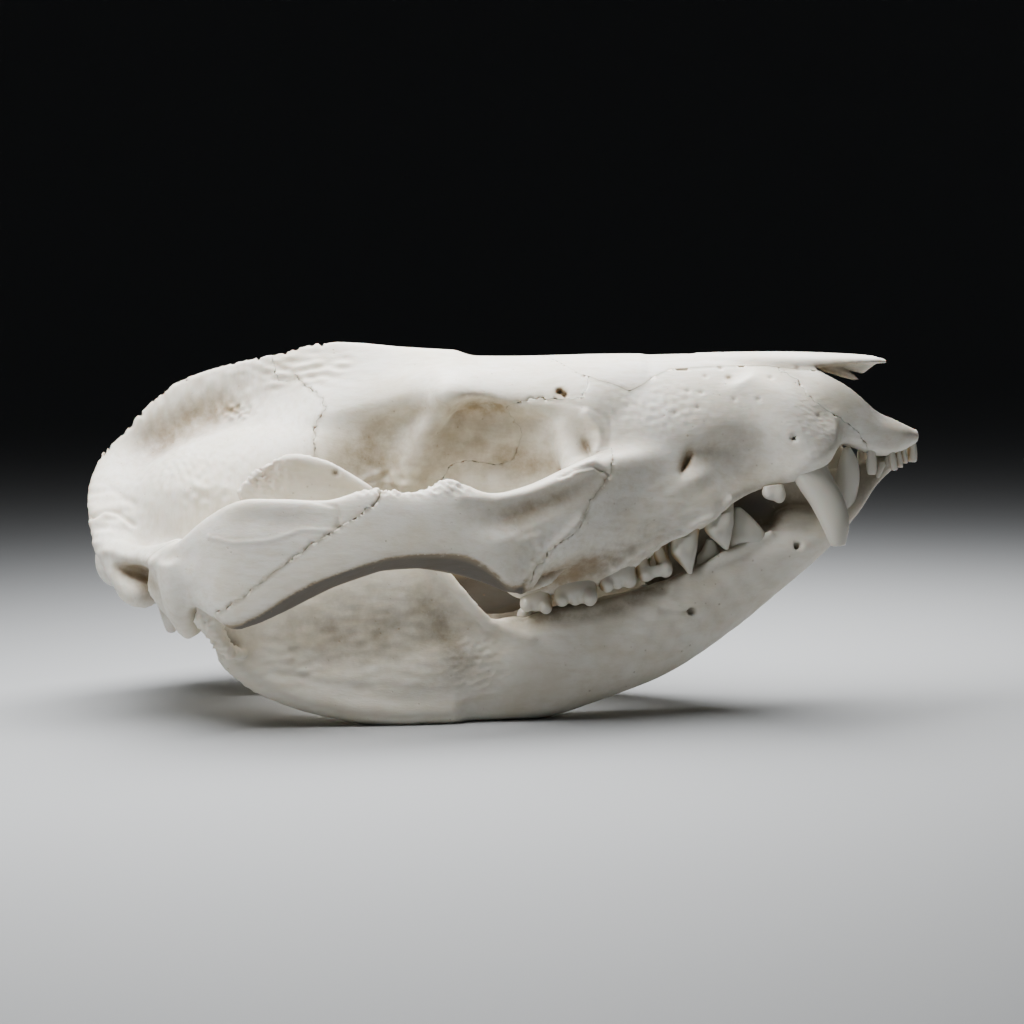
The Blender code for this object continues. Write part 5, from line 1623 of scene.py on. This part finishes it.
@dataclass(frozen=True)
class Incisor:
    """A small front tooth: its neck, how far its edge reaches from there, its half length along the row
    and its half thickness."""

    neck: Point
    reach: float
    length: float = 0.62
    thick: float = 0.6
    lean: float = 0.5
    roots: Sequence[Strand] = ()
    # shares of its reach, and the shares of its half length and half thickness there
    profile: Sequence[Point] = ((-0.5, 0.75, 0.9), (0.0, 0.9, 1.0), (0.45, 1.15, 0.95), (0.85, 1.1, 0.62),
                                (1.0, 0.8, 0.3))
    power: float = 2.3
    sides: int = 24

    def crown(self, up: float) -> list[Form]:
        """Its one form, pointing up for 1 and down for -1."""
        x, y, z = self.neck
        rows = []
        for share, wide, deep in self.profile:
            px, pz = x + self.lean * share, z + up * self.reach * share
            ahead, behind = px + self.length * wide, px - self.length * wide
            rows.append(Rib((ahead, y, pz), (behind, y, pz), self.thick * deep))
        return [Tube.of_ribs(rows, power=self.power, sides=self.sides)]


@dataclass(frozen=True)
class ToothRow:
    """Teeth that make one piece."""

    name: str
    teeth: Sequence[Tooth | Incisor]
    up: float
    stands_for: Sequence[str]
    slot: str
    soft: float = 0.45
    neck_band: float = 0.5                   # height over which a crown turns to root
    fewest: int = 60                         # faces in the smallest separate surface that is kept

    def build(self, material: bpy.types.Material) -> None:
        """Builds the teeth on both sides and places them.

        Args:
            material: what they are made of.
        """
        crowns = [tooth.crown(self.up) for tooth in self.teeth]
        groups = [[*crown, *tooth.roots] for crown, tooth in zip(crowns, self.teeth)]
        whole = Mould.around([form for group in groups for form in group], TOOTH_CELL)
        capped = whole.copy()
        for mould, forms in ((whole, groups), (capped, crowns)):
            for group in forms:
                tooth = mould.copy()
                tooth.values[:] = REACH
                tooth.add(*group, soft=self.soft)
                mould.values = np.minimum(mould.values, tooth.values)
        points, quads = whole.surface(self.fewest)
        points = relaxed(points, quads, rounds=1)
        bare = np.clip(capped.look(points)[0] / self.neck_band, 0, 1)
        # the first mask is painted shade in hollows; on teeth the second holds only the bare roots, a real
        # tint
        masks = {"hollow_shade": Relief(points, whole).hollow_shade(whole), "stain_and_shade": bare}
        edge = np.zeros(len(points), bool)
        piece = Piece(self.name, points, quads, masks, edge, material, self.slot, self.stands_for)
        piece.place()
        piece.place(mirror=True)


@dataclass
class Teeth:
    """All teeth, a row at a time."""

    rows: Sequence[ToothRow] = (
        ToothRow("upper_cheek_teeth_right", (
            Tooth(ribs((7, -15.4, 19.6, 3, -15.3, 19.2, 1.1), (7.3, -15.9, 18, 2.7, -15.8, 18.2, 1.4),
                       (6.8, -16, 17.1, 3.2, -15.9, 17.3, 0.9)),
                  cusps=(Knob((3.7, -16.1, 17.7), (1.1, 1.3, 1.1)), Knob((6.5, -16.5, 17.4), (1, 1.5, 1.1)),
                         Knob((5.1, -16, 17.6), (0.9, 1, 1))), inner=3.2),
            Tooth(ribs((13.9, -15.8, 21.6, 8.1, -15.8, 20.6, 1.1), (14.2, -16.4, 20, 7.8, -16.3, 19.2, 1.4),
                       (13.6, -16.5, 18.8, 8.4, -16.4, 18.4, 1)),
                  cusps=(Knob((8.9, -16.7, 18.6), (1.15, 1.4, 1.15)),
                         Knob((10.9, -16.6, 18.6), (1, 1.1, 1)), Knob((13.1, -17.3, 19), (1.15, 1.5, 1.4)),
                         Knob((12, -16.7, 18.9), (0.7, 1, 0.9))), inner=3.6),
            Tooth(ribs((19.8, -14.3, 24.2, 15, -14.9, 23, 1.1),
                       (20.1, -14.8, 22.4, 14.6, -15.4, 21.6, 1.35),
                       (19.4, -14.9, 21.2, 15.2, -15.5, 20.6, 1)),
                  cusps=(Knob((15.7, -15.7, 20.7), (1.15, 1.4, 1.25)),
                         Knob((17.4, -15.3, 20.9), (0.9, 1, 1)),
                         Knob((19.1, -15.1, 21.3), (1.15, 1.5, 1.25))), inner=3.4),
            Tooth(ribs((25, -13.2, 23.6, 20.9, -14, 22.8, 1.1), (25.3, -13.4, 22.9, 20.5, -14.2, 22.1, 1.3),
                       (24.8, -13.4, 22, 21.1, -14.1, 21.4, 0.9)),
                  roots=(Strand(((21.3, -13.9, 22.8, 1.15), (20.4, -13.4, 25.2, 1.2),
                                 (19.2, -12.4, 28.6, 1))),
                         Strand(((24.4, -13.2, 23.4, 1.05), (23.5, -12.8, 25.8, 0.95),
                                 (22.8, -12, 29, 0.8)))),
                  cusps=(Knob((21.6, -14.3, 22), (1.2, 1.35, 1.05)),
                         Knob((24.7, -13.6, 22.7), (1.05, 1.45, 1.2))), inner=3),
            Tooth(ribs((29.2, -12.2, 27.8, 25.8, -12.4, 27.2, 1.1),
                       (29.4, -12.5, 25.8, 25.5, -12.7, 25.4, 1.35),
                       (29.2, -12.7, 24.2, 26.2, -12.9, 24.2, 1.2),
                       (28.9, -12.7, 22.8, 27.5, -12.8, 22.8, 0.8),
                       (28.8, -12.7, 22, 28.1, -12.7, 22, 0.45)),
                  roots=(Strand(((28.4, -12.4, 26, 1.1), (28.8, -12, 28.4, 1.05), (29.4, -11.2, 32, 0.8))),
                         Strand(((26.6, -12.2, 26.2, 1), (26.2, -11.6, 28.8, 0.95), (26, -11, 31, 0.9)))),
                  cusps=(Knob((27, -13, 25.2), (1.3, 1.3, 1), pitch=-35),)),
            Tooth(ribs((34.9, -11.1, 31.2, 31, -11.3, 30.6, 1), (35, -11.4, 29.3, 30.6, -11.6, 28.8, 1.25),
                       (34.8, -11.6, 27.7, 31.5, -11.8, 27.6, 1.1),
                       (34.5, -11.6, 26.3, 32.9, -11.7, 26.3, 0.75),
                       (34.4, -11.6, 25.6, 33.7, -11.6, 25.6, 0.45)),
                  roots=(Strand(((34, -11.3, 29.6, 1.05), (34.2, -10.6, 31.6, 1), (34.4, -9.4, 34.6, 0.8))),
                         Strand(((31.8, -11.1, 29.6, 0.95), (31.4, -10.5, 32, 0.9), (31.4, -10, 34, 0.8)))),
                  cusps=(Knob((32.2, -11.9, 28.4), (1.3, 1.2, 1), pitch=-35),)),
            Tooth(ribs((42.9, -9.2, 35.4, 39.8, -9.2, 35, 0.8), (43, -9.4, 34.2, 39.6, -9.4, 34, 0.9),
                       (42.8, -9.5, 33.4, 40, -9.5, 33.5, 0.8), (42.2, -9.5, 32.7, 40.9, -9.5, 33, 0.5)),
                  cusps=(Knob((42.3, -9.6, 33.7), (0.9, 0.9, 1.2)),
                         Knob((40.7, -9.5, 33.7), (0.8, 0.8, 0.6)))),
        ), -1, ("maxilla_right",), "cranium_bone"),
        ToothRow("upper_canine_right", (
            Tooth(ribs((46.6, -8, 47.4, 41.6, -8, 45.6, 1.6), (47.8, -8.6, 43, 42.4, -8.6, 41.2, 2),
                       (49.8, -9.6, 37.6, 44.6, -9.6, 35.8, 2), (52, -10.4, 33.3, 47, -10.4, 32.1, 1.8),
                       (52.8, -11, 29.8, 48.6, -11, 29, 1.5), (52.4, -11.2, 27, 49.7, -11.2, 26.6, 1.1),
                       (52.2, -11.2, 26.2, 50.1, -11.2, 26, 0.8)),
                  power=2),
        ), -1, ("maxilla_right",), "cranium_bone"),
        ToothRow("upper_incisors_right", (
            Incisor((63.7, -1.3, 41.2), 3, 0.7, lean=0.1), Incisor((62, -2.5, 40.6), 2.5, 0.5),
            Incisor((61.1, -3.4, 40.3), 2.8, 0.5), Incisor((60.1, -4.2, 40.1), 3, 0.52),
            Incisor((56.8, -5.4, 40.2), 3.7, 0.7, lean=0.1),
        ), -1, ("premaxilla_right",), "cranium_bone"),
        ToothRow("lower_cheek_teeth_right", (
            *(Tooth(ribs((x + 2.7, y, z - 0.6, x - 2.7, y - 0.2, z - 1.2, 1.3),
                         (x + 2.8, y, z + 0.7, x - 2.8, y - 0.2, z + 0.1, 1.4),
                         (x + 2.4, y, z + 1.7, x - 2.4, y - 0.2, z + 1.1, 0.9)),
                    roots=(Strand(((x - 1.6, y, z, 1.1), (x - 1.6, y, z - 5, 0.8))),
                           Strand(((x + 1.6, y, z, 1.1), (x + 1.6, y, z - 5, 0.8)))),
                    cusps=(Knob((x - 1.5, y, z + 0.8), (1.3, 1.4, 1.3)),
                           Knob((x + 1.5, y, z + 1), (1.3, 1.4, 1.4))))
              for x, y, z in ((5, -11.8, 14.8), (11.2, -11.8, 15.6), (17.2, -11.4, 16.4),
                              (23.2, -10.6, 18))),
            Tooth(ribs((33.2, -9, 24.2, 29.9, -9.4, 23.2, 1.1), (33.1, -9, 25.2, 30.4, -9.4, 25, 1.1),
                       (32.2, -9.1, 27, 31.2, -9.2, 26.9, 0.6)),
                  roots=(Strand(((32.4, -9, 24.6, 0.9), (32.4, -8.6, 20, 0.7))),
                         Strand(((30.6, -9.2, 24, 0.9), (30.6, -8.8, 20, 0.7))))),
            Tooth(ribs((39.7, -8.6, 26.2, 34.7, -9, 26, 1.15), (40.3, -8.7, 27.2, 34.6, -9.1, 27, 1.4),
                       (39.9, -8.8, 28.3, 34.9, -9.1, 28.2, 1.35),
                       (38.7, -8.9, 29.7, 35.1, -9.1, 29.7, 1.15),
                       (37.5, -8.9, 30.9, 35.3, -9.1, 30.9, 0.85), (36.4, -9, 31.8, 35.5, -9.1, 31.8, 0.5)),
                  roots=(Strand(((38.8, -8.6, 26.8, 1.1), (38.4, -8, 22, 0.8))),
                         Strand(((35.6, -9, 26.6, 1), (35.2, -8.6, 24.2, 0.85), (34.8, -8.4, 21, 0.7))))),
        ), 1, ("dentary_right",), "jaw_bone"),
        ToothRow("lower_canine_right", (
            Tooth(ribs((50.2, -4, 29, 47.6, -4, 28.4, 1.2), (53.8, -4.3, 31, 49.8, -4.3, 30.2, 1.7),
                       (54.9, -5, 34.2, 50.8, -5, 34, 1.6), (55, -5.7, 36.8, 51.4, -5.7, 36.9, 1.4),
                       (54.6, -6.2, 38.8, 51.8, -6.2, 38.9, 1.1), (53.8, -6.6, 40.3, 52.2, -6.6, 40.4, 0.7),
                       (53.3, -6.7, 41, 52.8, -6.7, 41, 0.35)),
                  power=2),
        ), 1, ("dentary_right",), "jaw_bone"),
        ToothRow("lower_incisors_right", (
            Incisor((61, -0.9, 38.4), 2.2, 0.55), Incisor((60.4, -2.2, 38.2), 2, 0.55),
            Incisor((59.4, -3.2, 37.6), 1.8, 0.55), Incisor((58.2, -4, 36.8), 1.7, 0.55),
        ), 1, ("dentary_right",), "jaw_bone"),
    )

    def build(self) -> None:
        """Builds every row."""
        material = ENAMEL.material()
        for row in self.rows:
            row.build(material)


@dataclass(frozen=True)
class Lamp:
    """A soft rectangular light: its place and sides in metres, and its power in watts."""

    name: str
    place: Point
    sides: tuple[float, float]
    power: float


@dataclass
class Studio:
    """Plain pale floor, soft lights and the camera at the photograph's angle."""

    target: Point = (1.4, 0.0, 30.3)         # millimetres, as is the distance
    distance: float = 400.0
    elevation: float = 5.0
    sensor: float = 36.0
    focal_pixels: float = 2554.0
    image_pixels: float = 1024.0
    nearest: float = 0.01                    # metres, as are the floor's sizes
    floor_flat: float = 1.4
    floor_bend: float = 1.6
    floor_steps: int = 24
    floor_sides: int = 128
    lamps: Sequence[Lamp] = (Lamp("key", (-0.02, 0.02, 0.16), (0.32, 0.10), 1.45),
                             Lamp("fill", (0.1, -0.9, 0.5), (0.8, 0.5), 0.06))
    lit_point: Point = (0.0, 0.0, 0.03)
    sky_colour: str = "#DDE0E4"
    sky_strength: float = 0.02

    def build(self) -> None:
        """Makes the floor, the lights and the camera."""
        self.make_floor()
        self.make_lights()
        self.make_camera()

    def make_camera(self) -> None:
        """Makes the camera and looks through it."""
        data = bpy.data.cameras.new("camera")
        data.sensor_width = self.sensor
        data.lens = self.sensor * self.focal_pixels / self.image_pixels
        data.clip_start = self.nearest
        made = bpy.data.objects.new("camera", data)
        rise = radians(self.elevation)
        aim = Vector(self.target) * MM
        back = Vector((0, -cos(rise), sin(rise)))
        made.location = aim + back * self.distance * MM
        made.rotation_euler = (-back).to_track_quat("-Z", "Y").to_euler()
        bpy.context.scene.collection.objects.link(made)
        bpy.context.scene.camera = made

    def make_floor(self) -> None:
        """Makes the pale floor, which sweeps up far away, so that no edge shows behind the skull."""
        data = bpy.data.meshes.new("floor")
        bend = np.linspace(0, pi / 2, self.floor_steps)
        reach = np.concatenate([[self.floor_flat / 2], self.floor_flat + self.floor_bend * np.sin(bend)])
        rise = np.concatenate([[0.0], self.floor_bend * (1 - np.cos(bend))])
        turns = np.linspace(0, 2 * pi, self.floor_sides, endpoint=False)
        points = np.stack([np.outer(reach, np.cos(turns)), np.outer(reach, np.sin(turns)),
                           np.outer(rise, np.ones_like(turns))], axis=-1).reshape(-1, 3)
        rings = np.arange(len(points)).reshape(len(reach), -1)
        nexts = np.roll(rings, -1, axis=1)
        quads = np.stack([rings[1:], nexts[1:], nexts[:-1], rings[:-1]], axis=-1).reshape(-1, 4)
        data.from_pydata(points.tolist(), [], [rings[0].tolist(), *quads.tolist()])
        data.shade_smooth()
        data.materials.append(FLOOR_CARD.material())
        floor = bpy.data.objects.new("floor", data)
        bpy.context.scene.collection.objects.link(floor)

    def make_lights(self) -> None:
        """Makes a large soft light above, a weaker one in front and an even sky."""
        for lamp in self.lamps:
            data = bpy.data.lights.new(lamp.name, "AREA")
            data.shape = "RECTANGLE"
            data.size, data.size_y = lamp.sides
            data.energy = lamp.power
            made = bpy.data.objects.new(lamp.name, data)
            made.location = lamp.place
            aim = Vector(lamp.place) - Vector(self.lit_point)
            made.rotation_euler = aim.to_track_quat("Z", "Y").to_euler()
            bpy.context.scene.collection.objects.link(made)
        world = bpy.data.worlds.new("sky")
        world.use_nodes = True
        sky = world.node_tree.nodes["Background"].inputs
        sky["Color"].default_value = linear(self.sky_colour)
        sky["Strength"].default_value = self.sky_strength
        bpy.context.scene.world = world


def main() -> None:
    """Builds the skull and the studio, and reports each piece."""
    logging.basicConfig(level=logging.INFO, format="%(relativeCreated)6d ms %(message)s")
    Studio().build()
    Cranium().build()
    Jaw().build()
    Teeth().build()


if __name__ == "__main__":
    main()
